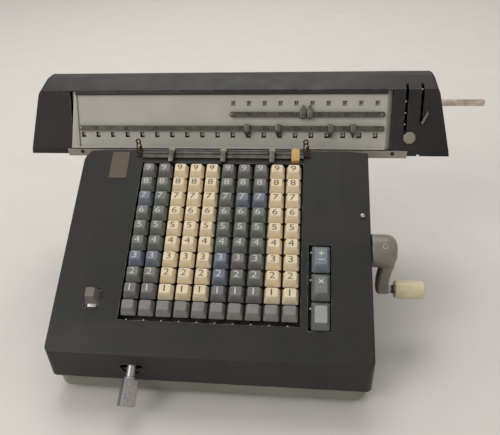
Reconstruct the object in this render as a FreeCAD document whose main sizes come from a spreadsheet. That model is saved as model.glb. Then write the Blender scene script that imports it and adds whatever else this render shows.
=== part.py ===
import FreeCAD, Part
import math
import os
import Sketcher

# Pinwheel calculator: sloping full keyboard, shifting carriage with its dials, crank at the right.
# Millimetres, +X right, +Y to the rear, +Z up. Sizes are counted from the table under the middle of
# the housing; the pieces are then moved so that the origin is under the middle of the whole machine.

DIMENSIONS = {
    # keyboard
    "key_pitch": 16,
    "row_pitch": 15.7,
    "deck_slope": 30,
    "deck_y": 33.8,
    "deck_z": 151.15,
    "deck_back": 19.5,
    "key_window_width": 162,
    "key_window_back": 4,
    "key_window_front": 158.5,
    "cap_width": 14.2,
    "cap_length": 13.8,
    "cap_setback": -0.9,
    "cap_top_back": 0.9,
    "cap_top_width": 10.4,
    "cap_top_length": 8,
    "cap_rise": 5.6,
    "cap_dip": 1.4,
    "stem_width": 2,
    "stem_length": 5,
    "stem_depth": 24,
    "stem_play": 0.3,
    # housing
    "housing_width": 288,
    "front_y": -130,
    "rear_y": 130,
    "cover_bottom": 24,
    "bed_z": 143,
    "wall": 2.5,
    "deck_thickness": 3.5,
    "bevel_width": 27,
    "bevel_drop": 1.6,
    "front_corner": 6,
    "rear_corner": 10,
    "back_left_corner": 16,
    "back_right_corner": 5,
    "top_edge": 1.6,
    # base
    "foot_height": 8,
    "foot_radius": 9,
    "foot_x": 112,
    "foot_y": 98,
    "pan_floor": 2,
    "pan_wall": 2,
    "pan_overlap": 10,
    "pan_corner": 13,
    "seat_gap": 0.3,
    # frame
    "frame_gap": 26,
    "frame_plate": 3,
    "frame_front": -108,
    "frame_rear": 118,
    "frame_clear": 1.5,
    "rod_radius": 4,
    "guide_depth": 12.5,
    "guide_plate": 1.5,
    "guide_front": 155,
    "guide_back": 8,
    "rail_y": 103,
    "rail_width": 10,
    "rail_height": 5,
    "rail_length": 270,
    # function keys and setting key
    "function_x": 98.6,
    "function_width": 16.4,
    "function_length": 25.2,
    "function_pitch": 26.4,
    "function_start": 82.7,
    "function_rise": 7.4,
    "function_top_width": 10.4,
    "function_top_length": 15,
    "function_top_back": 5.4,
    "setting_gap": 10.7,
    "setting_start": 131,
    "setting_width": 12.6,
    "setting_length": 14.5,
    "setting_rise": 8.5,
    "setting_top_width": 6.2,
    "setting_top_length": 7.4,
    "setting_top_back": 2,
    "setting_tongue": 3,
    "setting_tongue_thick": 1,
    "key_gap": 0.9,
    # marker bars
    "marker_bar_length": 163,
    "marker_bar_y": 9.2,
    "marker_bar_width": 6.6,
    "marker_bar_height": 3,
    "marker_bar_step": 2,
    "marker_bar_ridge": 2,
    "deck_clip_width": 6.6,
    "deck_clip_slim": 4,
    "deck_clip_stem": 5,
    "deck_clip_crown": 1.6,
    "pointed_clip_width": 8.4,
    "deck_clip_1": -51,
    "deck_clip_2": 1.6,
    "deck_clip_3": 50.2,
    "yellow_clip": 73.2,
    "plate_x": -104.3,
    "plate_y": 1,
    "plate_width": 18.6,
    "plate_length": 31,
    "plate_thick": 1,
    "pointer_x": 84.1,
    "pointer_setback": 5.6,
    "pointer_height": 15,
    "pointer_lean": 3.5,
    "pointer_spread": 1.6,
    "pointer_wire": 0.6,
    "pointer_eye": 1.9,
    "pointer_base_length": 3.4,
    "pointer_base_height": 2.4,
    "slider_gap": 0.3,
    "slider_skin": 1.2,
    # register panel and its openings
    "panel_lean": 21,
    "panel_y": 73,
    "panel_z": 168,
    "panel_left": -158,
    "panel_right": 162,
    "panel_bottom": -15,
    "panel_top": 43,
    "panel_thick": 1.6,
    "panel_flange": 5.5,
    "panel_bend": 4,
    "panel_top_gap": 0.5,
    "lower_window_width": 4.7,
    "lower_window_height": 5.7,
    "lower_window_y": -0.7,
    "upper_window_y": 31,
    "upper_window_width": 4.9,
    "upper_window_height": 4.9,
    "counter_offset": 0.9,
    "lower_bar_y": 6.1,
    "upper_bar_y": 20,
    "panel_bar_width": 5.4,
    "panel_bar_stand": 1.7,
    "panel_bar_thick": 1.8,
    "bar_corner": 1.2,
    "bar_foot_inset": 1.5,
    "bar_foot_length": 4,
    "bar_foot_step": 0.6,
    "lower_bar_left": -155.5,
    "upper_bar_left": 5.5,
    "bar_right": 160,
    "panel_clip_width": 6,
    "panel_clip_point": 8.8,
    "panel_clip_nose": 2.6,
    "panel_clip_crown": 2.6,
    "lower_clip_1": 23,
    "lower_clip_2": 54.7,
    "lower_clip_3": 107.3,
    "lower_clip_4": 129.8,
    "upper_clip_1": 79.3,
    "upper_clip_2": 86.2,
    # dials and shafts
    "dial_radius": 9,
    "dial_width": 8,
    "dial_depth": 11.6,
    "shaft_radius": 3.3,
    "shaft_play": 0.08,
    "rod_end": 257,
    # carriage
    "hood_left": -212,
    "hood_right": 225.5,
    "hood_end_lean": 13.5,
    "hood_lip_bottom": 148,
    "hood_lip_height": 6,
    "hood_proud": 1.5,
    "hood_crease": 44.5,
    "hood_crest_y": 109,
    "hood_crest_z": 216.5,
    "hood_rear_y": 130,
    "hood_wall": 2,
    "hood_crest_flat": 13,
    "hood_rear_drop": 12,
    "hood_corner": 5,
    "hood_end": 18,
    "slot_back": 96,
    "lip_notch": 2.5,
    "frame_inset": 20,
    "rib_width": 3,
    "rib_length": 220,
    "upright_edge": 5,
    "upright_foot": 40,
    "upright_thick": 2,
    "lip_left": -170,
    "lip_right": 184,
    "lip_thick": 1.6,
    "carriage_floor": 2.5,
    "slot_width": 3,
    "lever_plate": 2,
    "result_lever_x": 180.5,
    "counter_lever_x": 195.2,
    "result_lever_along": 3,
    "counter_lever_along": 12,
    "lever_arm_width": 3,
    "lever_boss": 7,
    "lever_boss_width": 5,
    "tab_thick": 1.6,
    "tab_corner": 2,
    "result_tab_out": 3,
    "result_tab_width": 10.5,
    "result_tab_low": 12.7,
    "result_tab_high": 1.5,
    "counter_tab_out": 4,
    "counter_tab_width": 8,
    "counter_tab_low": 1.5,
    "counter_tab_high": 10,
    # crank and gears
    "crank_y": -28,
    "crank_z": 99,
    "crank_radius": 40.5,
    "crank_hang": 11,
    "hub_radius": 15.5,
    "hub_gap": 3,
    "hub_length": 23,
    "hub_round": 10,
    "arm_thick": 13.5,
    "arm_inset": 2.5,
    "arm_overhang": 4,
    "arm_corner": 3,
    "arm_width": 15,
    "knob_radius": 8.6,
    "knob_gap": 3,
    "knob_length": 29,
    "knob_corner": 1.2,
    "knob_skin": 2,
    "knob_pin_radius": 3,
    "crank_shaft_radius": 6,
    "pinion_radius": 8,
    "pinion_teeth": 8,
    "idler_radius": 54,
    "idler_teeth": 54,
    "gear_gap": 5,
    "gear_width": 5,
    "rotor_y": 84,
    "rotor_z": 106,
    "rotor_radius": 27,
    "rotor_disc": 5,
    "pin_first_angle": 100,
    "pin_step": 13,
    "pin_slot_width": 2.6,
    "pin_slot_depth": 1.4,
    "idler_hole_place": 30,
    "idler_hole_radius": 11,
    "rotor_shaft_radius": 5,
    # shift lever
    "lever_x": -66.2,
    "lever_pivot_y": -100,
    "lever_pivot_z": 54.5,
    "lever_hole_z": 37.2,
    "lever_hole_width": 22,
    "lever_hole_height": 12,
    "lever_drop": 30,
    "lever_pivot_radius": 5,
    "lever_pivot_height": 8,
    "lever_stem_radius": 4,
    "lever_stem_end": 43,
    "lever_length": 66,
    "lever_neck_width": 12,
    "lever_tip_width": 13.5,
    "lever_grip_thick": 10.5,
    "lever_grip_turn": 35,
}

COLUMNS = 10
DIGIT_ROWS = 9
RESULT_DIALS = 20
COUNTER_DIALS = 10
KNOB_SIDES = 24
FOOT_SIDES = 20
RIM_SIDES = 8
IDLER_HOLES = 5
FUNCTION_KEYS = ("plus_minus_key", "multiply_divide_key", "blank_function_key")

os.makedirs("parts", exist_ok=True)
doc = FreeCAD.newDocument("PinwheelCalculator")
V = FreeCAD.Vector


class Size:
    """A number that keeps the sheet expression it comes from."""

    def __init__(self, number, text):
        self.number = float(number)
        self.text = text

    def __add__(self, other):
        return Size(self.number + num(other), f"({self.text} + {txt(other)})")

    def __radd__(self, other):
        return Size(num(other) + self.number, f"({txt(other)} + {self.text})")

    def __sub__(self, other):
        return Size(self.number - num(other), f"({self.text} - {txt(other)})")

    def __rsub__(self, other):
        return Size(num(other) - self.number, f"({txt(other)} - {self.text})")

    def __mul__(self, other):
        return Size(self.number * num(other), f"({self.text} * {txt(other)})")

    def __rmul__(self, other):
        return Size(num(other) * self.number, f"({txt(other)} * {self.text})")

    def __truediv__(self, other):
        return Size(self.number / num(other), f"({self.text} / {txt(other)})")

    def __rtruediv__(self, other):
        return Size(num(other) / self.number, f"({txt(other)} / {self.text})")

    def __neg__(self):
        return Size(-self.number, f"(0 - {self.text})")


def num(value):
    return value.number if isinstance(value, Size) else float(value)


def txt(value):
    if isinstance(value, Size):
        return value.text
    return f"({value})" if value < 0 else str(value)


def sin(angle):
    return Size(math.sin(math.radians(num(angle))), f"sin({txt(angle)})")


def cos(angle):
    return Size(math.cos(math.radians(num(angle))), f"cos({txt(angle)})")


def tan(angle):
    return Size(math.tan(math.radians(num(angle))), f"tan({txt(angle)})")


class Sheet:
    """The driving dimensions: one cell with an alias for each, read back as a Size."""

    def __init__(self, dimensions):
        self.cells = doc.addObject("Spreadsheet::Sheet", "Sizes")
        for row, (alias, number) in enumerate(dimensions.items(), 1):
            self.cells.set(f"A{row}", str(number))
            self.cells.setAlias(f"A{row}", alias)
            setattr(self, alias, Size(number, f"Sizes.{alias}"))


D = Sheet(DIMENSIONS)
nought = Size(0, "0")
doc.recompute()

# The keyboard deck and the register panel are planes turned about X: local x is along the machine,
# local y runs up the plane and local z stands out of it.
MACHINE = (nought, nought, nought)
DECK = (D.deck_slope, D.deck_y, D.deck_z)
PANEL = (90 - D.panel_lean, D.panel_y, D.panel_z)


LEVER = (D.lever_drop, D.lever_pivot_y, D.lever_pivot_z)

lever_tip_rise = ((D.lever_tip_width / 2 - 1) * sin(D.lever_grip_turn)
                  + D.lever_grip_thick / 2 * cos(D.lever_grip_turn))
lever_tip_y = D.lever_pivot_y - D.lever_length * cos(D.lever_drop) - lever_tip_rise * sin(D.lever_drop)
centre_x = (D.hood_left + D.rod_end) / 2
centre_y = (lever_tip_y + D.hood_rear_y) / 2


def on_frame(frame, y, z):
    """Machine y and z of a point given in a turned frame."""
    angle, base_y, base_z = frame
    return base_y + y * cos(angle) - z * sin(angle), base_z + y * sin(angle) + z * cos(angle)


def bind(item, name, value):
    item.setExpression(name, txt(value))


def set_place(item, holder, frame, x=0, y=0, z=0, from_x=0, from_y=0):
    """Bind a placement to a point of a frame, counted from another place in plan."""
    place_y, place_z = on_frame(frame, Size(num(y), txt(y)), Size(num(z), txt(z)))
    setattr(item, holder, FreeCAD.Placement(V(), FreeCAD.Rotation(V(1, 0, 0), num(frame[0]) or 1)))
    bind(item, f"{holder}.Base.x", x - from_x)
    bind(item, f"{holder}.Base.y", place_y - from_y)
    bind(item, f"{holder}.Base.z", place_z)
    bind(item, f"{holder}.Rotation.Angle", frame[0])


def new_body(label, frame=MACHINE, x=0, y=0, z=0):
    body = doc.addObject("PartDesign::Body", label)
    body.Label = label
    set_place(body, "Placement", frame, x, y, z, centre_x, centre_y)
    return body


def plain_piece(label, shape):
    """A piece made of plain solids, moved to the machine's middle like the bodies."""
    piece = doc.addObject("Part::Feature", label)
    piece.Label = label
    piece.Shape = shape.removeSplitter()
    bind(piece, "Placement.Base.x", -centre_x)
    bind(piece, "Placement.Base.y", -centre_y)
    return piece


def new_sketch(body, plane, lift=0, frame=None, shift=None):
    """A sketch on one of the body's own origin planes, lifted along its normal or laid in a frame."""
    support = next(item for item in body.Origin.OriginFeatures if item.Role == plane)
    sketch = body.newObject("Sketcher::SketchObject", body.Label + "_outline")
    sketch.AttachmentSupport = [(support, "")]
    sketch.MapMode = "FlatFace"
    if frame:
        set_place(sketch, "AttachmentOffset", frame, 0, 0, lift)
    else:
        sketch.AttachmentOffset = FreeCAD.Placement(V(0, 0, 1), FreeCAD.Rotation())
        bind(sketch, "AttachmentOffset.Base.z", lift)
    return sketch


def hold(sketch, kind, element, point, value):
    row = sketch.addConstraint(Sketcher.Constraint(kind, -1, 1, element, point, num(value)))
    bind(sketch, f"Constraints[{row}]", value)


def outline(sketch, points):
    """A closed run of straight lines through points whose coordinates are sizes."""
    lines = []
    for (ax, ay), (bx, by) in zip(points, points[1:] + points[:1]):
        line = Part.LineSegment(V(num(ax), num(ay), 0), V(num(bx), num(by), 0))
        lines.append(sketch.addGeometry(line))
    for first, second in zip(lines, lines[1:] + lines[:1]):
        sketch.addConstraint(Sketcher.Constraint("Coincident", first, 2, second, 1))
    for line, (x, y) in zip(lines, points):
        hold(sketch, "DistanceX", line, 1, x)
        hold(sketch, "DistanceY", line, 1, y)
    return sketch


def circle(sketch, x, y, radius):
    ring = sketch.addGeometry(Part.Circle(V(num(x), num(y), 0), V(0, 0, 1), num(radius)))
    hold(sketch, "DistanceX", ring, 3, x)
    hold(sketch, "DistanceY", ring, 3, y)
    row = sketch.addConstraint(Sketcher.Constraint("Radius", ring, num(radius)))
    bind(sketch, f"Constraints[{row}]", radius)
    return sketch


def box_points(left, right, low, high):
    return [(left, low), (right, low), (right, high), (left, high)]


def cut_corner_points(left, right, low, high, cut):
    """A rectangle with its four corners cut, for caps and tabs with rounded corners."""
    return [(left + cut, low), (right - cut, low), (right, low + cut), (right, high - cut),
            (right - cut, high), (left + cut, high), (left, high - cut), (left, low + cut)]


def ring_points(radius, sides, turn):
    """Corners of a regular outline, the middle of one side facing the given angle."""
    half = 180 / sides
    points = []
    for side in range(sides):
        angle = turn + half * (2 * side + 1)
        points.append((radius * cos(angle), radius * sin(angle)))
    return points


def extrude(body, sketch, length, side="One side", back=False, kind="Pad"):
    feature = body.newObject(f"PartDesign::{kind}", f"{body.Label}_{kind}")
    feature.Profile = sketch
    feature.SideType = side
    feature.Reversed = back
    bind(feature, "Length", length)
    return feature


def pad(body, sketch, length, side="One side", back=False):
    return extrude(body, sketch, length, side, back)


def pocket(body, sketch, length, side="One side", back=False):
    return extrude(body, sketch, length, side, back, "Pocket")


def wedge(body, plane, sizes, turn=nought):
    """A tapering block on one of the body's origin planes, its taper along the plane's own y."""
    support = next(item for item in body.Origin.OriginFeatures if item.Role == plane)
    feature = body.newObject("PartDesign::AdditiveWedge", body.Label + "_wedge")
    feature.AttachmentSupport = [(support, "")]
    feature.MapMode = "FlatFace"
    for name, value in sizes.items():
        setattr(feature, name, num(value))
        bind(feature, name, value)
    feature.AttachmentOffset = FreeCAD.Placement(V(), FreeCAD.Rotation(V(0, 1, 0), num(turn) or 1))
    bind(feature, "AttachmentOffset.Rotation.Angle", turn)
    return feature


def revolve(body, sketch, axis):
    feature = body.newObject("PartDesign::Revolution", body.Label + "_turned")
    feature.Profile = sketch
    feature.ReferenceAxis = (sketch, [axis])
    return feature


def round_edges(body, base, radius, test, kind="Fillet"):
    """Round the edges of a feature whose middle point passes the test."""
    doc.recompute()
    names = []
    for count, edge in enumerate(base.Shape.Edges, 1):
        middle = edge.valueAt((edge.FirstParameter + edge.LastParameter) / 2)
        run = edge.Vertexes[-1].Point - edge.Vertexes[0].Point
        if test(middle, run):
            names.append(f"Edge{count}")
    feature = body.newObject(f"PartDesign::{kind}", f"{body.Label}_{kind}")
    feature.Base = (base, names)
    bind(feature, "Size" if kind == "Chamfer" else "Radius", radius)
    return feature


def near(value, target, reach=0.05):
    return abs(value - num(target)) < reach


def repeat(body, originals, role, spacing, count, back=False):
    """Repeat features at an even spacing along one of the body's origin axes."""
    axis = next(item for item in body.Origin.OriginFeatures if item.Role == role)
    pattern = body.newObject("PartDesign::LinearPattern", body.Label + "_row")
    pattern.Originals = originals
    pattern.Direction = (axis, [""])
    pattern.Reversed = back
    bind(pattern, "Length", spacing * (count - 1))
    pattern.Occurrences = count
    body.Tip = pattern
    return pattern


# The deck surface as a height over machine y.
def deck_height(y, below=0):
    return D.deck_z + (y - D.deck_y) * tan(D.deck_slope) - below / cos(D.deck_slope)


deck_back_y, deck_back_z = on_frame(DECK, D.deck_back, nought)
half_width = D.housing_width / 2
# Side frames, gears, setting key and crank keep their distance from the housing's sides.
frame_x = half_width - D.frame_gap
gear_x = frame_x + D.gear_gap
setting_x = D.setting_gap - frame_x
hub_start = half_width + D.hub_gap
hub_end = hub_start + D.hub_length
arm_left = hub_start + D.arm_inset
arm_right = arm_left + D.arm_thick
knob_start = arm_right + D.knob_gap
knob_end = knob_start + D.knob_length


def column_x(column):
    return D.key_pitch * (column - (COLUMNS + 1) / 2)


def corner_sketch(body, lift, x, y, radius, sign):
    """The sliver between a square corner and the arc that rounds it, seen from above."""
    sketch = new_sketch(body, "XY_Plane", lift)
    centre = V(num(x - radius * sign), num(y - radius), 0)
    start, end = (0, 90) if sign > 0 else (90, 180)
    ring = Part.Circle(centre, V(0, 0, 1), num(radius))
    arc = sketch.addGeometry(Part.ArcOfCircle(ring, math.radians(start), math.radians(end)))
    side, top = (1, 2) if sign > 0 else (2, 1)
    corner = V(num(x), num(y), 0)
    up = sketch.addGeometry(Part.LineSegment(V(num(x), centre.y, 0), corner))
    across = sketch.addGeometry(Part.LineSegment(corner, V(centre.x, num(y), 0)))
    for first, first_end, second, second_end in ((arc, side, up, 1), (up, 2, across, 1), (across, 2, arc, top)):
        sketch.addConstraint(Sketcher.Constraint("Coincident", first, first_end, second, second_end))
    hold(sketch, "DistanceX", arc, 3, x - radius * sign)
    hold(sketch, "DistanceY", arc, 3, y - radius)
    hold(sketch, "DistanceX", up, 2, x)
    hold(sketch, "DistanceY", up, 2, y)
    hold(sketch, "DistanceX", up, 1, x)
    hold(sketch, "DistanceY", up, 1, y - radius)
    hold(sketch, "DistanceX", across, 2, x - radius * sign)
    return sketch


# Housing cover: a folded shell with a shallow raised deck, open below.
def housing_cover():
    body = new_body("housing_cover")
    bevel_y = D.front_y + D.bevel_width * cos(D.deck_slope)
    front_top = deck_height(D.front_y) - D.bevel_drop
    step_y = deck_back_y + 1.5
    outer = [(D.front_y, D.cover_bottom), (D.front_y, front_top), (bevel_y, deck_height(bevel_y)),
             (deck_back_y, deck_back_z), (step_y, D.bed_z), (D.rear_y, D.bed_z),
             (D.rear_y, D.cover_bottom)]
    shell = pad(body, outline(new_sketch(body, "YZ_Plane"), outer), D.housing_width, "Symmetric")
    # The borders of the deck fall away a little to each side.
    for sign in (-1, 1):
        support = next(item for item in body.Origin.OriginFeatures if item.Role == "XZ_Plane")
        sketch = body.newObject("Sketcher::SketchObject", "deck_bevel")
        sketch.AttachmentSupport = [(support, "")]
        sketch.MapMode = "FlatFace"
        sketch.AttachmentOffset = FreeCAD.Placement(V(), FreeCAD.Rotation(V(1, 0, 0), 1))
        bind(sketch, "AttachmentOffset.Base.y", D.deck_z)
        bind(sketch, "AttachmentOffset.Base.z", -D.deck_y)
        bind(sketch, "AttachmentOffset.Rotation.Angle", D.deck_slope)
        inner_x = (half_width - D.bevel_width) * sign
        outer_x = (half_width + D.bevel_width) * sign
        outline(sketch, [(inner_x, 0), (outer_x, 0), (outer_x, -D.bevel_drop * 2)])
        shell = pocket(body, sketch, D.housing_width * 2, "Symmetric")
    shell = round_edges(body, shell, D.front_corner,
                        lambda p, r: near(p.y, D.front_y) and abs(r.z) > 20 and abs(r.y) < 1)
    shell = round_edges(body, shell, D.top_edge,
                        lambda p, r: near(p.y, D.front_y) and near(p.z, front_top, 3) and abs(r.x) > 100
                        or near(abs(p.x), half_width) and abs(r.y) > 100 and p.z > num(front_top)
                        or abs(p.x) > num(half_width - D.front_corner) and near(p.z, front_top, 4)
                        and r.Length < 8)
    inside_front = D.front_y + D.wall
    inside_step = deck_back_y - D.wall
    inner = [(inside_front, D.cover_bottom - 5), (inside_front, deck_height(inside_front, D.deck_thickness)
              - D.bevel_drop), (bevel_y, deck_height(bevel_y, D.deck_thickness)),
             (inside_step, deck_height(inside_step, D.deck_thickness)),
             (inside_step + 1.5, D.bed_z - D.wall), (D.rear_y - D.wall, D.bed_z - D.wall),
             (D.rear_y - D.wall, D.cover_bottom - 5)]
    sketch = outline(new_sketch(body, "YZ_Plane"), inner)
    shell = pocket(body, sketch, D.housing_width - D.wall * 2, "Symmetric")
    # The corners of the hollow follow those outside, a wall's thickness in.
    side_in = half_width - D.wall
    shell = round_edges(body, shell, D.rear_corner - D.wall,
                        lambda p, r: near(abs(p.x), side_in) and near(p.y, D.rear_y - D.wall) and abs(r.z) > 50)
    shell = round_edges(body, shell, D.front_corner - D.wall,
                        lambda p, r: near(abs(p.x), side_in) and near(p.y, inside_front) and abs(r.z) > 10)
    shell = round_edges(body, shell, D.back_left_corner - D.wall,
                        lambda p, r: near(p.x, -side_in) and near(p.y, inside_step, 2) and abs(r.z) > 5
                        and p.z > num(D.bed_z))
    for sign, radius in ((-1, D.back_left_corner), (1, D.back_right_corner)):
        sketch = corner_sketch(body, D.bed_z, half_width * sign, step_y + 1, radius, sign)
        shell = pocket(body, sketch, 60, back=True)
    round_edges(body, shell, D.rear_corner,
                lambda p, r: near(p.y, D.rear_y) and abs(r.z) > 50 and near(abs(p.x), half_width))
    # Openings in the deck: key window, function key slot and setting key slot.
    half_window = D.key_window_width / 2
    slot_left = D.function_x - D.function_width / 2 - 3
    slot_right = D.function_x + D.function_width / 2 + D.key_gap
    slot_end = D.function_start + D.function_pitch * 2 + D.function_length
    half_setting = D.setting_width / 2 + D.key_gap
    for points in (box_points(-half_window, half_window, -D.key_window_front, D.key_window_back),
                   box_points(slot_left, slot_right, -slot_end - D.key_gap, D.key_gap - D.function_start),
                   box_points(setting_x - half_setting, setting_x + half_setting,
                              -D.setting_start - D.setting_length - 4, D.key_gap - D.setting_start)):
        sketch = outline(new_sketch(body, "XY_Plane", 4, DECK), points)
        pocket(body, sketch, D.deck_thickness + 8)
    # Lever opening in the front, wide above and drawn in below.
    top = D.lever_hole_z + D.lever_hole_height / 2
    low = D.lever_hole_z - D.lever_hole_height / 2
    half = D.lever_hole_width / 2
    mouth = [(D.lever_x - half * 0.45, low), (D.lever_x + half * 0.45, low),
             (D.lever_x + half * 0.8, low + 4), (D.lever_x + half, top - 3), (D.lever_x + half - 2.5, top),
             (D.lever_x - half + 2.5, top), (D.lever_x - half, top - 3), (D.lever_x - half * 0.8, low + 4)]
    sketch = outline(new_sketch(body, "XZ_Plane", -D.front_y - D.wall - 4), mouth)
    pocket(body, sketch, D.wall + 8, back=True)
    # Hole for the crank shaft.
    sketch = circle(new_sketch(body, "YZ_Plane", half_width + 4), D.crank_y, D.crank_z,
                    D.crank_shaft_radius + 1)
    pocket(body, sketch, D.wall + 8)
    return body


# Base pan: a light tray that stands inside the cover's rim, on four rubber feet.
def base_pan():
    body = new_body("base_pan")
    inset = D.wall + D.seat_gap
    side = half_width - inset
    height = D.cover_bottom - D.foot_height + D.pan_overlap
    rim = box_points(-side, side, D.front_y + inset, D.rear_y - inset)
    tray = pad(body, outline(new_sketch(body, "XY_Plane", D.foot_height), rim), height)
    well = box_points(D.pan_wall - side, side - D.pan_wall,
                      D.front_y + inset + D.pan_wall, D.rear_y - inset - D.pan_wall)
    sketch = outline(new_sketch(body, "XY_Plane", D.foot_height + height), well)
    tray = pocket(body, sketch, height - D.pan_floor)
    tray = round_edges(body, tray, D.pan_corner - D.pan_wall,
                       lambda p, r: abs(r.z) > 10 and near(abs(p.x), side - D.pan_wall, 0.1))
    round_edges(body, tray, D.pan_corner,
                lambda p, r: abs(r.z) > 10 and near(abs(p.x), side, 0.1) and abs(p.y) > 120)
    return body


def rubber_feet():
    body = new_body("rubber_feet")
    sketch = new_sketch(body, "XY_Plane", D.foot_height)
    for x in (-D.foot_x, D.foot_x):
        for y in (-D.foot_y, D.foot_y):
            outline(sketch, [(x + dx, y + dy) for dx, dy in ring_points(D.foot_radius, FOOT_SIDES, 90)])
    pad(body, sketch, D.foot_height, back=True)
    return body


ROD_PLACES = ((-95, 26), (8, 20), (112, 60))


# Side frames: steel plates that carry the guide plate, the rods, the rotor and the crank shaft.
def side_frame(label, sign):
    body = new_body(label)
    floor = D.foot_height + D.pan_floor
    top_front = deck_height(D.frame_front, D.deck_thickness) - D.bevel_drop - D.frame_clear
    shoulder = deck_back_y - D.wall - D.frame_clear
    profile = [(D.frame_front, floor), (D.frame_front, top_front),
               (shoulder, top_front + (shoulder - D.frame_front) * tan(D.deck_slope)),
               (shoulder + 1.5, D.bed_z - D.wall - D.seat_gap),
               (D.frame_rear, D.bed_z - D.wall - D.seat_gap), (D.frame_rear, floor)]
    sketch = outline(new_sketch(body, "YZ_Plane", frame_x * sign), profile)
    circle(sketch, D.rotor_y, D.rotor_z, D.rotor_shaft_radius + D.shaft_play)
    if sign > 0:
        circle(sketch, D.crank_y, D.crank_z, D.crank_shaft_radius + D.shaft_play)
    pad(body, sketch, D.frame_plate, "Symmetric")
    if sign > 0:
        stub_y, stub_z = idler_centre()
        pin = circle(new_sketch(body, "YZ_Plane", frame_x), stub_y, stub_z, D.rotor_shaft_radius)
        pad(body, pin, gear_x + D.gear_width + 2 - frame_x)
    return body


def frame_tie_rods():
    body = new_body("frame_tie_rods")
    inner = frame_x * 2 - D.frame_plate
    sketch = new_sketch(body, "YZ_Plane")
    for y, z in ROD_PLACES:
        outline(sketch, [(y + dy, z + dz) for dy, dz in ring_points(D.rod_radius, 6, 90)])
    pad(body, sketch, inner, "Symmetric")
    return body


# Key guide plate: one long slot for each column of stems, between the side frames.
def key_guide_plate():
    body = new_body("key_guide_plate", DECK)
    half = frame_x - D.frame_plate / 2 - D.seat_gap
    sketch = outline(new_sketch(body, "XY_Plane", -D.guide_depth), box_points(-half, half, -D.guide_front, D.guide_back))
    reach = D.stem_width / 2 + D.stem_play
    for row in range(len(FUNCTION_KEYS)):
        low = -D.function_start - D.function_pitch * row - D.function_length / 2 - D.stem_length / 2
        outline(sketch, box_points(D.function_x - reach, D.function_x + reach, low - D.stem_play,
                                   low + D.stem_length + D.stem_play))
    low = -D.setting_start - D.setting_length / 2 - D.stem_length / 2
    outline(sketch, box_points(setting_x - reach, setting_x + reach, low - D.stem_play,
                               low + D.stem_length + D.stem_play))
    pad(body, sketch, D.guide_plate, back=True)
    first = column_x(1)
    slot = outline(new_sketch(body, "XY_Plane", 1 - D.guide_depth),
                   box_points(first - reach, first + reach, stem_low(COLUMNS - 1) - D.stem_play,
                              stem_low(0) + D.stem_length + D.stem_play))
    cut = pocket(body, slot, D.guide_plate + 2)
    repeat(body, [cut], "X_Axis", D.key_pitch, COLUMNS)
    return body


def stem_low(row):
    """Deck y of the front edge of a stem in a keyboard row, the nine row being row 0."""
    return -D.cap_setback - D.row_pitch * row - D.cap_length / 2 - D.stem_length / 2


# Keys: a tapered cap, its top set back from the sloping front, on a flat steel stem.
def key(label, x, back, size, rise, top_back, rows=1, tongue=None):
    width, length, top_width, top_length = size
    body = new_body(label, DECK, x, back, 0)
    cap = wedge(body, "XZ_Plane", {
        "Xmin": -width / 2, "Xmax": width / 2, "X2min": -top_width / 2, "X2max": top_width / 2,
        "Ymin": -D.cap_dip, "Ymax": rise,
        "Zmin": nought, "Zmax": length, "Z2min": top_back, "Z2max": top_back + top_length})
    foot = outline(new_sketch(body, "XY_Plane", -D.cap_dip),
                   box_points(-D.stem_width / 2, D.stem_width / 2, -(length + D.stem_length) / 2,
                              (D.stem_length - length) / 2))
    stem = pad(body, foot, D.stem_depth - D.cap_dip, back=True)
    if tongue:
        flap = outline(new_sketch(body, "XY_Plane", -D.cap_dip),
                       box_points(-width / 2 + 1, width / 2 - 2, -length - tongue, -length / 2))
        pad(body, flap, D.setting_tongue_thick)
    if rows > 1:
        repeat(body, [cap, stem], "Y_Axis", D.row_pitch, rows, True)
    return body


def keyboard():
    cap = (D.cap_width, D.cap_length, D.cap_top_width, D.cap_top_length)
    for column in range(1, COLUMNS + 1):
        key(f"digit_keys_column_{column}", column_x(column), -D.cap_setback, cap, D.cap_rise,
            D.cap_top_back, rows=DIGIT_ROWS)
        key(f"clear_key_{column}", column_x(column), -D.cap_setback - D.row_pitch * DIGIT_ROWS, cap,
            D.cap_rise, D.cap_top_back)
    cap = (D.function_width, D.function_length, D.function_top_width, D.function_top_length)
    for row, label in enumerate(FUNCTION_KEYS):
        key(label, D.function_x, -D.function_start - D.function_pitch * row, cap, D.function_rise,
            D.function_top_back)
    cap = (D.setting_width, D.setting_length, D.setting_top_width, D.setting_top_length)
    key("setting_key", setting_x, -D.setting_start, cap, D.setting_rise, D.setting_top_back,
        tongue=D.setting_tongue)


def carriage_rail():
    body = new_body("carriage_rail", MACHINE, 0, D.rail_y, D.bed_z)
    half = D.rail_length / 2
    rail = pad(body, outline(new_sketch(body, "XY_Plane"), box_points(-half, half, -D.rail_width / 2,
                                                                      D.rail_width / 2)), D.rail_height)
    round_edges(body, rail, 0.8, lambda p, r: near(p.z, D.rail_height) and abs(r.x) > 10, "Chamfer")
    return body


# Marker bar of the keyboard: a flat rule with a raised front strip, screwed flat to the deck.
def marker_bar():
    body = new_body("marker_bar", DECK, 0, D.marker_bar_y, 0)
    width = D.marker_bar_width
    ridge = D.marker_bar_ridge
    profile = [(0, 0), (width, 0), (width, D.marker_bar_height), (width - ridge, D.marker_bar_height),
               (width - ridge - 0.6, D.marker_bar_step), (0, D.marker_bar_step)]
    pad(body, outline(new_sketch(body, "YZ_Plane"), profile), D.marker_bar_length, "Symmetric")
    return body


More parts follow.
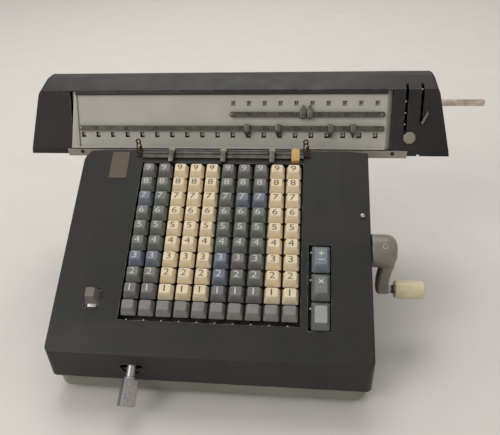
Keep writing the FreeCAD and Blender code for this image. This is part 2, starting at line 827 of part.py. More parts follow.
# Bars of the register panel: a strip that stands off on a foot at each end, so that the clips wrap it.
def panel_bar(label, left, right, y):
    body = new_body(label, PANEL, 0, y, 0)
    half = D.panel_bar_width / 2
    strip = outline(new_sketch(body, "XY_Plane", D.panel_bar_stand),
                    cut_corner_points(left, right, -half, half, D.bar_corner))
    pad(body, strip, D.panel_bar_thick)
    feet = new_sketch(body, "XY_Plane")
    inner = D.bar_foot_inset + D.bar_foot_length
    narrow = half - D.bar_foot_step
    outline(feet, box_points(left + D.bar_foot_inset, left + inner, -narrow, narrow))
    outline(feet, box_points(right - inner, right - D.bar_foot_inset, -narrow, narrow))
    pad(body, feet, D.panel_bar_stand)
    return body


# Clips of the register panel: a tapering saddle that wraps the bar and points at the windows.
def panel_clip(label, x, y, sign):
    body = new_body(label, PANEL, x, y, 0)
    half = D.panel_clip_width / 2
    reach = D.panel_bar_width / 2 + D.slider_gap
    heel = (-reach - D.slider_skin) * sign
    waist = (reach + 0.4) * sign
    point = D.panel_clip_point * sign
    nose = D.panel_clip_nose / 2
    saddle = [(-half, heel), (half, heel), (half, waist), (nose, point), (-nose, point), (-half, waist)]
    if sign < 0:
        saddle.reverse()
    crown = D.panel_bar_stand + D.panel_bar_thick + D.slider_gap
    block = pad(body, outline(new_sketch(body, "XY_Plane", D.slider_gap), saddle),
                crown + D.panel_clip_crown)
    round_edges(body, block, 1.4,
                lambda p, r: near(p.z, crown + D.slider_gap + D.panel_clip_crown), "Chamfer")
    channel = box_points(-reach, reach, D.panel_bar_stand - D.slider_gap, crown)
    pocket(body, outline(new_sketch(body, "YZ_Plane"), channel), D.panel_clip_width * 3, "Symmetric")
    return body


# Clips of the keyboard bar: a tee of thick sheet over the bar, its stem towards the keys; one is a
# broad pentagon instead.
def deck_clip(label, x, pointed=False):
    body = new_body(label, DECK, x, D.marker_bar_y, 0)
    low = -D.slider_gap
    high = D.marker_bar_width + D.slider_gap
    crown = D.marker_bar_height + D.slider_gap
    end = low - D.slider_skin
    top = high + D.slider_skin
    if pointed:
        half = D.pointed_clip_width / 2
        plan = [(0, low - D.deck_clip_stem), (half, end), (half, top), (-half, top), (-half, end)]
    else:
        half = D.deck_clip_width / 2
        slim = D.deck_clip_slim / 2
        tail = low - D.deck_clip_stem
        plan = [(-slim, tail), (slim, tail), (slim, end), (half, end), (half, top), (-half, top),
                (-half, end), (-slim, end)]
    block = pad(body, outline(new_sketch(body, "XY_Plane", D.slider_gap), plan), crown + D.deck_clip_crown)
    round_edges(body, block, 0.8,
                lambda p, r: near(p.z, crown + D.slider_gap + D.deck_clip_crown), "Chamfer")
    channel = box_points(low, high, -1, crown)
    pocket(body, outline(new_sketch(body, "YZ_Plane"), channel), D.pointed_clip_width * 3, "Symmetric")
    return body


def blank_plate():
    body = new_body("blank_plate", DECK, D.plate_x, D.plate_y, 0)
    half_x = D.plate_width / 2
    half_y = D.plate_length / 2
    plate = pad(body, outline(new_sketch(body, "XY_Plane"), box_points(-half_x, half_x, -half_y, half_y)),
                D.plate_thick)
    round_edges(body, plate, 0.6, lambda p, r: near(p.z, D.plate_thick), "Chamfer")
    return body


# Wire pointers: two legs of one bent wire with an eye on top, standing in the deck before the panel.
def wire_pointers():
    wire = num(D.pointer_wire)
    spread = num(D.pointer_spread)
    eye = num(D.pointer_eye)
    foot_y = num(deck_back_y - D.pointer_setback)
    foot_z = num(deck_height(deck_back_y - D.pointer_setback))
    base_width = 2 * (spread + wire)
    base_length = num(D.pointer_base_length)
    pointers = []
    for sign in (-1, 1):
        x = num(D.pointer_x) * sign
        start = foot_z + num(D.pointer_base_height) / 2
        rise = num(D.pointer_height)
        lean = num(D.pointer_lean)
        legs = []
        for side in (-1, 1):
            section = []
            for corner in range(6):
                turn = math.radians(60 * corner)
                section.append(V(x + side * spread + wire * math.cos(turn), foot_y + wire * math.sin(turn),
                                 start))
            run = V(-side * spread, lean, rise)
            legs.append(Part.Face(Part.makePolygon(section + section[:1])).extrude(run))
        middle = V(x, foot_y + lean - wire, start + rise + eye - wire)
        loops = []
        for radius in (eye + wire, eye - wire):
            corners = []
            for corner in range(13):
                turn = math.radians(30 * corner)
                corners.append(middle + V(radius * math.cos(turn), 0, radius * math.sin(turn)))
            loops.append(Part.Face(Part.makePolygon(corners)).extrude(V(0, wire * 2, 0)))
        ring = loops[0].cut(loops[1])
        base = Part.makeBox(base_width, base_length, num(D.pointer_base_height),
                            V(-base_width / 2, -base_length / 2, 0))
        base.Placement = FreeCAD.Placement(V(x, foot_y, foot_z),
                                           FreeCAD.Rotation(V(1, 0, 0), num(D.deck_slope)))
        pointers.append(base.fuse(legs + [ring]))
    return plain_piece("wire_pointers", Part.makeCompound(pointers))


# Front shift lever: a round stem on a vertical pivot inside the cover, with a squared grip that
# stands turned about its own length.
def front_shift_lever():
    body = new_body("front_shift_lever", LEVER, D.lever_x)
    upright = (-D.lever_drop, nought, nought)
    pivot = circle(new_sketch(body, "XY_Plane", 0, upright), nought, nought, D.lever_pivot_radius)
    pad(body, pivot, D.lever_pivot_height, "Symmetric")
    stem = circle(new_sketch(body, "XZ_Plane", 0), nought, nought, D.lever_stem_radius)
    pad(body, stem, D.lever_stem_end + 1)
    thick = D.lever_grip_thick / 2
    grip = wedge(body, "XY_Plane", {
        "Xmin": -D.lever_tip_width / 2, "Xmax": D.lever_tip_width / 2,
        "X2min": -D.lever_neck_width / 2, "X2max": D.lever_neck_width / 2,
        "Ymin": -D.lever_length, "Ymax": -D.lever_stem_end,
        "Zmin": -thick, "Zmax": thick, "Z2min": -thick, "Z2max": thick}, D.lever_grip_turn)
    round_edges(body, grip, 1, lambda p, r: abs(r.y) > 12 and math.hypot(p.x, p.z) > 6, "Chamfer")
    return body


def tooth_ring(centre_y, centre_z, radius, teeth, turn=0):
    """Outline of a spur wheel with straight-sided teeth about a pitch radius."""
    module = 2 * num(radius) / teeth
    tip = num(radius) + 0.85 * module
    root = num(radius) - 1.05 * module
    step = 2 * math.pi / teeth
    points = []
    for tooth in range(teeth):
        middle = (tooth + turn) * step
        for distance, lag in ((root, -0.31), (tip, -0.12), (tip, 0.12), (root, 0.31)):
            angle = middle + lag * step
            points.append(V(0, distance * math.cos(angle), distance * math.sin(angle)))
    points.append(points[0])
    shape = Part.Face(Part.makePolygon(points))
    shape.translate(V(0, num(centre_y), num(centre_z)))
    return shape


def idler_centre():
    """The idler stands below the line from crank to rotor, in mesh with both pinions."""
    reach = D.pinion_radius + D.idler_radius
    span_y = (D.rotor_y - D.crank_y) / 2
    span_z = (D.rotor_z - D.crank_z) / 2
    half = math.hypot(num(span_y), num(span_z))
    drop = math.sqrt(num(reach) ** 2 - half ** 2)
    y = num(D.crank_y) + num(span_y) + drop * num(span_z) / half
    z = num(D.crank_z) + num(span_z) - drop * num(span_y) / half
    return Size(y, str(round(y, 4))), Size(z, str(round(z, 4)))


def mesh_turns():
    """Phase of each wheel in teeth, so that teeth meet gaps at both meshes."""
    idler_y, idler_z = (num(value) for value in idler_centre())
    to_crank = math.atan2(num(D.crank_z) - idler_z, num(D.crank_y) - idler_y)
    to_rotor = math.atan2(num(D.rotor_z) - idler_z, num(D.rotor_y) - idler_y)
    idler_teeth = int(num(D.idler_teeth))
    pinion_teeth = int(num(D.pinion_teeth))
    crank_turn = (to_crank + math.pi) / (2 * math.pi) * pinion_teeth + 0.5
    idler_turn = to_crank / (2 * math.pi) * idler_teeth
    rotor_gap = (to_rotor / (2 * math.pi) * idler_teeth - idler_turn) % 1
    rotor_turn = (to_rotor + math.pi) / (2 * math.pi) * pinion_teeth + 0.5 + rotor_gap
    return crank_turn, idler_turn, rotor_turn


def gear_slab(centre_y, centre_z, radius, teeth, turn, start, width):
    face = tooth_ring(centre_y, centre_z, radius, teeth, turn)
    face.translate(V(num(start), 0, 0))
    return face.extrude(V(num(width), 0, 0))


def x_cylinder(radius, start, end, y, z):
    return Part.makeCylinder(num(radius), num(end) - num(start), V(num(start), num(y), num(z)), V(1, 0, 0))


def x_prism(radius, sides, start, end, y, z, turn=0):
    """A regular prism along X, its corners on a circle."""
    corners = []
    for side in range(sides + 1):
        angle = math.radians(turn + 360 * side / sides)
        corners.append(V(num(start), num(y) + num(radius) * math.cos(angle),
                         num(z) + num(radius) * math.sin(angle)))
    return Part.Face(Part.makePolygon(corners)).extrude(V(num(end) - num(start), 0, 0))


# Crank shaft with its pinion: it runs in the right side frame and carries the crank outside.
def crank_shaft():
    teeth = int(num(D.pinion_teeth))
    shaft = x_cylinder(D.crank_shaft_radius, frame_x - D.frame_plate / 2, hub_start, D.crank_y, D.crank_z)
    wheel = gear_slab(D.crank_y, D.crank_z, D.pinion_radius, teeth, mesh_turns()[0], gear_x, D.gear_width)
    return plain_piece("crank_shaft", shaft.fuse(wheel))


# Idler gear: a broad wheel with lightening holes on the pin of the right side frame.
def idler_gear():
    teeth = int(num(D.idler_teeth))
    y, z = idler_centre()
    end = gear_x + D.gear_width
    wheel = gear_slab(y, z, D.idler_radius, teeth, mesh_turns()[1], gear_x, D.gear_width)
    wheel = wheel.cut(x_cylinder(D.rotor_shaft_radius + D.shaft_play, gear_x, end, y, z))
    for hole in range(IDLER_HOLES):
        angle = math.radians(360 / IDLER_HOLES * hole)
        wheel = wheel.cut(x_prism(D.idler_hole_radius, 6, gear_x, end,
                                  num(y) + num(D.idler_hole_place) * math.cos(angle),
                                  num(z) + num(D.idler_hole_place) * math.sin(angle)))
    return plain_piece("idler_gear", wheel)


# Pinwheel rotor: ten discs on one shaft. A third of each rim is slotted for its nine pins, one for
# each digit that the keys can set.
def pinwheel_rotor():
    y = num(D.rotor_y)
    z = num(D.rotor_z)
    rim = num(D.rotor_radius)
    floor = rim - num(D.pin_slot_depth)
    half_slot = math.degrees(num(D.pin_slot_width) / 2 / rim)
    frame_in = frame_x - D.frame_plate / 2 - 0.5
    shaft = x_prism(D.rotor_shaft_radius, 6, -frame_in, frame_in, y, z)
    journals = [x_cylinder(D.rotor_shaft_radius, -frame_x - D.frame_plate / 2, -frame_in, y, z),
                x_cylinder(D.rotor_shaft_radius, frame_in, gear_x + D.gear_width, y, z)]
    pinion = gear_slab(y, z, D.pinion_radius, int(num(D.pinion_teeth)), mesh_turns()[2], gear_x,
                       D.gear_width)
    profile = []
    for pin in range(DIGIT_ROWS):
        middle = num(D.pin_first_angle) + num(D.pin_step) * pin
        for radius, angle in ((rim, middle - half_slot), (floor, middle - half_slot),
                              (floor, middle + half_slot), (rim, middle + half_slot)):
            profile.append((radius, angle))
    last = num(D.pin_first_angle) + num(D.pin_step) * (DIGIT_ROWS - 1)
    plain = 360 - num(D.pin_step) * (DIGIT_ROWS - 1)
    for side in range(1, RIM_SIDES):
        profile.append((rim, last + plain * side / RIM_SIDES))
    discs = []
    for column in range(1, COLUMNS + 1):
        middle = num(column_x(column))
        left = middle - num(D.rotor_disc) / 2
        right = middle + num(D.rotor_disc) / 2
        corners = []
        for radius, angle in profile + profile[:1]:
            turn = math.radians(angle)
            corners.append(V(left, y + radius * math.cos(turn), z + radius * math.sin(turn)))
        discs.append(Part.Face(Part.makePolygon(corners)).extrude(V(right - left, 0, 0)))
    return plain_piece("pinwheel_rotor", shaft.fuse(journals + [pinion] + discs))


# Crank: a cast hub with a big rounded shoulder that runs down into a tapering arm, and the knob's pin.
def crank_arm():
    body = new_body("crank_arm", (-D.crank_hang, D.crank_y, D.crank_z))
    shoulder_x = hub_end - D.hub_round
    shoulder_r = D.hub_radius - D.hub_round
    profile = [(hub_start, nought), (hub_start, D.hub_radius)]
    for angle in (0, 45, 90):
        profile.append((shoulder_x + D.hub_round * sin(angle), shoulder_r + D.hub_round * cos(angle)))
    profile.append((hub_end, nought))
    revolve(body, outline(new_sketch(body, "XY_Plane"), profile), "H_Axis")
    end = -D.crank_radius - D.arm_overhang
    web = [(arm_left, 2), (arm_left, end), (arm_right, end), (arm_right, 12 - D.crank_radius),
           (hub_end - 1.2, -2), (hub_end - 4, D.hub_radius / 2)]
    pad(body, outline(new_sketch(body, "XZ_Plane"), web), D.arm_width, "Symmetric")
    cuts = new_sketch(body, "YZ_Plane", arm_left - 1)
    for side in (-1, 1):
        inner = (D.arm_width / 2 - D.arm_corner) * side
        outer = (D.arm_width / 2 + 1) * side
        outline(cuts, [(inner, end), (inner, end - 1), (outer, end - 1), (outer, end + D.arm_corner + 1)])
    pocket(body, cuts, D.arm_thick + 2, back=True)
    pin_end = knob_end - D.knob_skin - 1
    pin = circle(new_sketch(body, "YZ_Plane", pin_end), nought, -D.crank_radius, D.knob_pin_radius)
    pad(body, pin, pin_end - arm_right + 2, back=True)
    return body


def crank_knob():
    angle = D.crank_hang
    body = new_body("crank_knob", MACHINE, 0, D.crank_y - D.crank_radius * sin(angle),
                    D.crank_z - D.crank_radius * cos(angle))
    length = knob_end - knob_start
    knob = pad(body, outline(new_sketch(body, "YZ_Plane", knob_start),
                             ring_points(D.knob_radius, KNOB_SIDES, 90)), length)
    round_edges(body, knob, D.knob_corner,
                lambda p, r: near(p.x, knob_end) or near(p.x, knob_start), "Chamfer")
    bore = circle(new_sketch(body, "YZ_Plane", knob_start), nought, nought,
                  D.knob_pin_radius + D.shaft_play)
    pocket(body, bore, length - D.knob_skin, back=True)
    return body


# Carriage hood: an arched cover with leaning ends, a window for the register panel and two slots.
def hood_profile(inset, lip):
    proud = D.hood_proud - inset
    front_low = on_frame(PANEL, D.panel_bottom, proud)
    crease = on_frame(PANEL, D.hood_crease - inset * 0.7, proud)
    rear = D.hood_rear_y - inset
    crest_end = D.hood_crest_y + D.hood_crest_flat
    return [(front_low[0], lip), front_low, crease, (D.hood_crest_y, D.hood_crest_z - inset),
            (crest_end, D.hood_crest_z - inset - 0.5), (rear, D.hood_crest_z - D.hood_rear_drop - inset),
            (rear, lip)]


def carriage_hood():
    body = new_body("carriage_hood")
    length = D.hood_right - D.hood_left
    arch = pad(body, outline(new_sketch(body, "YZ_Plane", D.hood_left),
                             hood_profile(nought, D.hood_lip_bottom)), length)
    top = D.hood_crest_z + 20
    height = top - D.hood_lip_bottom
    for foot, sign in ((D.hood_left, 1), (D.hood_right, -1)):
        lean = height * tan(D.hood_end_lean) * sign
        wedge_cut = [(foot - sign, D.hood_lip_bottom), (foot, D.hood_lip_bottom), (foot + lean, top),
                     (foot - sign, top)]
        sketch = outline(new_sketch(body, "XZ_Plane"), wedge_cut)
        arch = pocket(body, sketch, D.hood_rear_y * 4, "Symmetric")
    round_edges(body, arch, D.hood_corner, lambda p, r: p.z > num(D.hood_crest_z) - 14 and abs(r.x) < 8
                and p.y > 90)
    sketch = outline(new_sketch(body, "YZ_Plane", D.hood_left + D.hood_end),
                     hood_profile(D.hood_wall, D.hood_lip_bottom - 3))
    pocket(body, sketch, length - D.hood_end * 2, back=True)
    # Window for the register panel.
    sketch = outline(new_sketch(body, "XY_Plane", 10, PANEL),
                     box_points(D.panel_left - D.panel_flange, D.panel_right + D.panel_flange,
                                D.panel_bottom, D.panel_top + D.panel_top_gap))
    pocket(body, sketch, 16)
    # Slots for the clearing levers, from the top over the crease and down the front, and below each
    # a small notch in the lip.
    half = D.slot_width / 2
    for x, along in ((D.result_lever_x, D.result_lever_along), (D.counter_lever_x, D.counter_lever_along)):
        low = on_frame(PANEL, along - D.lever_arm_width / 2 - D.slider_gap, nought)[1]
        slot = outline(new_sketch(body, "XZ_Plane", -D.slot_back),
                       box_points(x - half, x + half, low, D.hood_crest_z + 10))
        pocket(body, slot, 50, back=True)
        notch = outline(new_sketch(body, "XZ_Plane", -D.panel_y - 7),
                        box_points(x - half, x + half, D.hood_lip_bottom - 1,
                                   D.hood_lip_bottom + D.lip_notch))
        pocket(body, notch, 30, back=True)
    # Hole for the counter shaft in the right end.
    shaft_y, shaft_z = on_frame(PANEL, D.upper_window_y, -D.dial_depth)
    sketch = circle(new_sketch(body, "YZ_Plane", D.hood_right + 5), shaft_y, shaft_z, D.shaft_radius + 0.5)
    pocket(body, sketch, 40)
    return body


# Register panel: an enamelled plate with bent ends and thirty small windows.
def register_panel():
    body = new_body("register_panel", PANEL)
    low = D.panel_bottom + D.seat_gap
    left = D.panel_left - D.panel_flange + D.seat_gap
    right = D.panel_right + D.panel_flange - D.seat_gap
    front = -D.panel_bend
    back = -D.panel_bend - D.panel_thick
    plan = [(left, front), (left, back), (D.panel_left, -D.panel_thick), (D.panel_right, -D.panel_thick),
            (right, back), (right, front), (D.panel_right, 0), (D.panel_left, 0)]
    pad(body, outline(new_sketch(body, "XZ_Plane", -low), plan), D.panel_top - low, back=True)
    for first, count, y, offset, width, height in (
            (0, RESULT_DIALS, D.lower_window_y, 0, D.lower_window_width, D.lower_window_height),
            (RESULT_DIALS - COUNTER_DIALS, COUNTER_DIALS, D.upper_window_y, D.counter_offset,
             D.upper_window_width, D.upper_window_height)):
        x = dial_x(first) + offset
        sketch = outline(new_sketch(body, "XY_Plane", 2),
                         box_points(x - width / 2, x + width / 2, y - height / 2, y + height / 2))
        opening = pocket(body, sketch, D.panel_thick + 4)
        repeat(body, [opening], "X_Axis", D.key_pitch, count)
    return body


def dial_x(dial):
    return D.key_pitch * (dial - (RESULT_DIALS - 1) / 2)


# Carriage frame: floor over the rail with its guide ribs, front lip and two uprights for the shafts.
def carriage_frame():
    body = new_body("carriage_frame")
    front = on_frame(PANEL, D.panel_bottom, D.hood_proud)[0]
    floor_low = D.bed_z + D.rail_height + D.seat_gap
    inner_front = front + D.hood_wall + D.seat_gap
    plan = box_points(D.hood_left + D.frame_inset, D.hood_right - D.frame_inset, inner_front,
                      D.hood_rear_y - D.hood_wall - D.seat_gap)
    pad(body, outline(new_sketch(body, "XY_Plane", floor_low), plan), D.carriage_floor)
    # Guide ribs on each side of the rail.
    ribs = new_sketch(body, "XY_Plane", floor_low)
    near_side = D.rail_y - D.rail_width / 2 - D.seat_gap
    far_side = D.rail_y + D.rail_width / 2 + D.seat_gap
    half = D.rib_length / 2
    outline(ribs, box_points(-half, half, near_side - D.rib_width, near_side))
    outline(ribs, box_points(-half, half, far_side, far_side + D.rib_width))
    pad(body, ribs, D.rail_height - 1, back=True)
    # Uprights that carry both dial shafts, their front edges parallel to the panel.
    edge = D.upright_edge - D.dial_depth
    foot = on_frame(PANEL, D.lower_window_y - D.upright_edge - 1, edge)
    lower = on_frame(PANEL, D.lower_window_y, -D.dial_depth)
    upper = on_frame(PANEL, D.upper_window_y, -D.dial_depth)
    head = on_frame(PANEL, D.upper_window_y + D.upright_edge + 1, edge)
    for x in (D.panel_left - 4, D.panel_right + 6):
        sheet = new_sketch(body, "YZ_Plane", x)
        outline(sheet, [(foot[0], floor_low), (foot[0] + D.upright_foot, floor_low),
                        (upper[0] + 10, head[1]), head, foot])
        circle(sheet, lower[0], lower[1], D.shaft_radius + D.shaft_play)
        circle(sheet, upper[0], upper[1], D.shaft_radius + D.shaft_play)
        pad(body, sheet, D.upright_thick, "Symmetric")
    # Lip that shows below the panel, joined to the floor through its fold.
    face = front - D.seat_gap
    fold = D.hood_lip_bottom - D.seat_gap
    lip_top = D.hood_lip_bottom + D.hood_lip_height
    joint = floor_low + 1
    lip = outline(new_sketch(body, "YZ_Plane", D.lip_left),
                  [(face - D.lip_thick, fold - 1.2), (face - D.lip_thick, lip_top), (face, lip_top), (face, fold),
                   (inner_front, fold), (inner_front, joint), (inner_front + 6, joint),
                   (inner_front + 6, fold - 1.2)])
    pad(body, lip, D.lip_right - D.lip_left)
    return body


# Number dials: ten-sided wheels, one side for each digit, turned in one with their six-sided shaft,
# which is round only in its bearings and at its free end.
def dials(label, y, count, first, offset, right):
    body = new_body(label, PANEL, 0, y, -D.dial_depth)
    inner = D.panel_left + 2
    outer = D.panel_left - 7
    last_wheel = dial_x(first + count - 1) + offset + D.dial_width / 2
    hexagon = outline(new_sketch(body, "YZ_Plane", inner), ring_points(D.shaft_radius, 6, 90))
    pad(body, hexagon, last_wheel - inner)
    for start, end in ((outer, inner), (last_wheel, right)):
        pad(body, circle(new_sketch(body, "YZ_Plane", start), nought, nought, D.shaft_radius), end - start)
    wheels = new_sketch(body, "YZ_Plane", dial_x(first) + offset - D.dial_width / 2)
    wheel = pad(body, outline(wheels, ring_points(D.dial_radius, 10, 90)), D.dial_width)
    repeat(body, [wheel], "X_Axis", D.key_pitch, count)
    return body


# Clearing levers: a bent plate on the counter shaft, out through its slot to a finger tab.
def clearing_lever(label, x, along, tab_out, tab_width, tab_low, tab_high):
    body = new_body(label, PANEL, x, D.upper_window_y, -D.dial_depth)
    reach = D.upper_window_y - along
    half = D.lever_arm_width / 2
    out = D.dial_depth + D.hood_proud + tab_out
    boss = outline(new_sketch(body, "YZ_Plane"), ring_points(D.lever_boss, 8, 0))
    pad(body, boss, D.lever_boss_width, "Symmetric")
    arm = outline(new_sketch(body, "YZ_Plane"),
                  [(0, -D.lever_boss / 2), (half - reach, -half), (-half - reach, -half), (-half - reach, out),
                   (half - reach, out), (half - reach, half), (0, D.lever_boss / 2)])
    pad(body, arm, D.lever_plate, "Symmetric")
    left = -D.lever_plate / 2
    tab = outline(new_sketch(body, "XY_Plane", out),
                  cut_corner_points(left, left + tab_width, -reach - tab_low, -reach + tab_high, D.tab_corner))
    pad(body, tab, D.tab_thick, back=True)
    bore = circle(new_sketch(body, "YZ_Plane", D.lever_boss_width), nought, nought,
                  D.shaft_radius + D.shaft_play)
    pocket(body, bore, D.lever_boss_width * 2)
    return body


housing_cover()
base_pan()
rubber_feet()
side_frame("side_frame_left", -1)
side_frame("side_frame_right", 1)
frame_tie_rods()
key_guide_plate()
keyboard()
carriage_rail()
marker_bar()
blank_plate()
wire_pointers()
for number, place in enumerate((D.deck_clip_1, D.deck_clip_2, D.deck_clip_3), 1):
    deck_clip(f"keyboard_clip_{number}", place)
deck_clip("yellow_keyboard_clip", D.yellow_clip, True)
front_shift_lever()
crank_shaft()
idler_gear()
pinwheel_rotor()
crank_arm()
crank_knob()
carriage_hood()
register_panel()
carriage_frame()
panel_bar("lower_marker_bar", D.lower_bar_left, D.bar_right, D.lower_bar_y)
panel_bar("upper_marker_bar", D.upper_bar_left, D.bar_right, D.upper_bar_y)
for number, place in enumerate((D.lower_clip_1, D.lower_clip_2, D.lower_clip_3, D.lower_clip_4), 1):
    panel_clip(f"lower_clip_{number}", place, D.lower_bar_y, -1)
for number, place in enumerate((D.upper_clip_1, D.upper_clip_2), 1):
    panel_clip(f"upper_clip_{number}", place, D.upper_bar_y, 1)
dials("result_dials", D.lower_window_y, RESULT_DIALS, 0, nought, D.panel_right + 9)
dials("counter_dials", D.upper_window_y, COUNTER_DIALS, RESULT_DIALS - COUNTER_DIALS, D.counter_offset,
      D.rod_end)
clearing_lever("result_clearing_lever", D.result_lever_x, D.result_lever_along, D.result_tab_out,
               D.result_tab_width, D.result_tab_low, D.result_tab_high)
clearing_lever("counter_clearing_lever", D.counter_lever_x, D.counter_lever_along, D.counter_tab_out,
               D.counter_tab_width, D.counter_tab_low, D.counter_tab_high)

doc.recompute()

faults = []
for item in doc.Objects:
    if "Invalid" in item.State or "Error" in item.State:
        faults.append(f"{item.Name} is {item.State}")
pieces = [item for item in doc.Objects if item.TypeId in ("PartDesign::Body", "Part::Feature")]
for piece in pieces:
    if piece.Shape.isNull() or not piece.Shape.isValid():
        faults.append(f"{piece.Label} has no valid shape")
if faults:
    raise RuntimeError("; ".join(faults))
for piece in pieces:
    piece.Shape.exportStep(f"parts/{piece.Label}.step")
    print(piece.Label, len(piece.Shape.Solids), round(piece.Shape.Volume))
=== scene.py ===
import math

import bmesh
import bpy
from mathutils import Matrix, Vector


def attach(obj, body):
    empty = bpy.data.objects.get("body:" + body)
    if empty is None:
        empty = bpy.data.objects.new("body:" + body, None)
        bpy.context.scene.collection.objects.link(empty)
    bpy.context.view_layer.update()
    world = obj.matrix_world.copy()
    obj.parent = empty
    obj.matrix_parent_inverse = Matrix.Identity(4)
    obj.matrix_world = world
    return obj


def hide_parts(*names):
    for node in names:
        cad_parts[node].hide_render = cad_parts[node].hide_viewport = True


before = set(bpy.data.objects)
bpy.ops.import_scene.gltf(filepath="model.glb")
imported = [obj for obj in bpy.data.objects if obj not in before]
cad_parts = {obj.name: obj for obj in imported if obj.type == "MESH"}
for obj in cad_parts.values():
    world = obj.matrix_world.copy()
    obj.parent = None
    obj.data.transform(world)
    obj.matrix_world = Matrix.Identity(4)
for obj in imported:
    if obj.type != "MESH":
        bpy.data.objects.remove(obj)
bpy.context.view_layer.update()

# Studio
# A pale table that runs to the horizon, one broad soft lamp overhead and behind, a second one at the
# front left, and a grey sky that fills the shadows. The camera stands where the photographer stood.
MM = 0.001
CAMERA_PLACE = (54.9, -415.6, 407.3)
CAMERA_TURN = (54.404, 2.549, 5.958)
LAMP_AIM = (0, 0, 0.1)


def colour(text):
    """An sRGB hex value as the linear colour that the shaders take."""
    linear = []
    for start in (1, 3, 5):
        channel = int(text[start:start + 2], 16) / 255
        linear.append(channel / 12.92 if channel <= 0.04045 else ((channel + 0.055) / 1.055) ** 2.4)
    return (*linear, 1)


def add(tree, kind, settings, links=None):
    """Adds a node. A setting is one of its inputs, by name or number, or else one of its properties."""
    node = tree.nodes.new(kind)
    for name, value in settings.items():
        if isinstance(name, int) or name in node.inputs:
            node.inputs[name].default_value = value
        else:
            setattr(node, name, value)
    for name, output in (links or {}).items():
        tree.links.new(output, node.inputs[name])
    return node


def new_material(name, **sockets):
    """A material with its shader's plain sockets set, and the object's own coordinates."""
    material = bpy.data.materials.new(name)
    material.use_nodes = True
    tree = material.node_tree
    shader = tree.nodes["Principled BSDF"]
    for socket, value in sockets.items():
        shader.inputs[socket.replace("_", " ")].default_value = value
    return material, tree, shader, add(tree, "ShaderNodeTexCoord", {}).outputs["Object"]


def noise(tree, place, size, detail):
    """Cloudy noise whose patches are about so many millimetres wide."""
    settings = {"Scale": 1 / (size * MM), "Detail": detail}
    return add(tree, "ShaderNodeTexNoise", settings, {"Vector": place}).outputs[0]


bpy.ops.object.camera_add(location=[place * MM for place in CAMERA_PLACE],
                          rotation=[math.radians(turn) for turn in CAMERA_TURN])
camera = bpy.context.object
camera.data.lens = 38.52
camera.data.sensor_width = 36
camera.data.shift_x = 0.0226
camera.data.shift_y = 0.029
camera.data.clip_start = 0.01
bpy.context.scene.camera = camera
bpy.context.scene.view_settings.view_transform = "Standard"

for name, place, size, power in (("overhead_softbox", (-0.2, 0.95, 1.7), 1.3, 15),
                                 ("left_softbox", (-1.3, -1.2, 1.4), 1.0, 13)):
    towards = (Vector(place) - Vector(LAMP_AIM)).to_track_quat("Z", "Y").to_euler()
    bpy.ops.object.light_add(type="AREA", location=place, rotation=towards)
    lamp = bpy.context.object
    lamp.name = name
    lamp.data.size = size
    lamp.data.energy = power

sky = bpy.data.worlds.new("studio_sky")
sky.use_nodes = True
bpy.context.scene.world = sky
tree = sky.node_tree
rays = add(tree, "ShaderNodeLightPath", {})
seen = add(tree, "ShaderNodeMath", {"operation": "ADD", "use_clamp": True},
           {0: rays.outputs["Is Camera Ray"], 1: rays.outputs["Is Glossy Ray"]})
seen = add(tree, "ShaderNodeMath", {"operation": "ADD", "use_clamp": True},
           {0: seen.outputs[0], 1: rays.outputs["Is Transmission Ray"]})
fill = add(tree, "ShaderNodeBackground", {"Color": colour("#ffffff"), "Strength": 0.5})
wall = add(tree, "ShaderNodeBackground", {"Color": colour("#d3cdc6"), "Strength": 1})
both = add(tree, "ShaderNodeMixShader", {}, {0: seen.outputs[0], 1: fill.outputs[0], 2: wall.outputs[0]})
tree.links.new(both.outputs[0], tree.nodes["World Output"].inputs["Surface"])

bpy.ops.mesh.primitive_plane_add(size=60)
table = bpy.context.object
table.name = "table"
material, tree, shader, place = new_material("painted_table", Roughness=0.6)
strokes = noise(tree, place, 60, 4)
tint = add(tree, "ShaderNodeMix", {"data_type": "RGBA", 6: colour("#d6d0c8"), 7: colour("#e0dad3")},
           {0: strokes})
tree.links.new(tint.outputs[2], shader.inputs["Base Color"])
table.data.materials.append(material)


# Base pan and feet
# The pan is a tray of folded sheet steel in light grey paint, pushed up inside the cover's rim and
# screwed to the side frames. Four turned rubber feet, each with its screw, carry the machine.
def ramp(tree, value, start, end, low=0, high=1):
    """A value carried over from one range to another, and held at the ends of it."""
    settings = {"From Min": start, "From Max": end, "To Min": low, "To Max": high}
    return add(tree, "ShaderNodeMapRange", settings, {"Value": value}).outputs[0]


def worn_edges(tree, place, radius, spread):
    """A factor that rises to 1 on rubbed edges, broken into patches as wide as spread; on the charcoal cover
    it is also a painted highlight.
    """
    eased = add(tree, "ShaderNodeBevel", {"samples": 4, "Radius": radius * MM})
    surface = add(tree, "ShaderNodeNewGeometry", {})
    turn = add(tree, "ShaderNodeVectorMath", {"operation": "DOT_PRODUCT"},
               {0: eased.outputs[0], 1: surface.outputs["Normal"]})
    edge = ramp(tree, turn.outputs["Value"], 0.99, 0.86)
    rub = noise(tree, place, spread, 5)
    patch = ramp(tree, rub, 0.42, 0.62)
    return add(tree, "ShaderNodeMath", {"operation": "MULTIPLY"}, {0: edge, 1: patch}).outputs[0]


def wander(tree, shader, smears, gloss, grain, strength, depth):
    """Roughness that wanders between two values with one noise, and relief that follows another."""
    tree.links.new(ramp(tree, smears, 0.3, 0.7, *gloss), shader.inputs["Roughness"])
    bump = add(tree, "ShaderNodeBump", {"Strength": strength, "Distance": depth * MM}, {"Height": grain})
    tree.links.new(bump.outputs[0], shader.inputs["Normal"])


def surface_finish(tree, shader, place, gloss, grain, depth):
    """Smears in the roughness and a fine grain in relief, sized in millimetres."""
    wander(tree, shader, noise(tree, place, 14, 4), gloss, noise(tree, place, grain, 3), 0.5, depth)


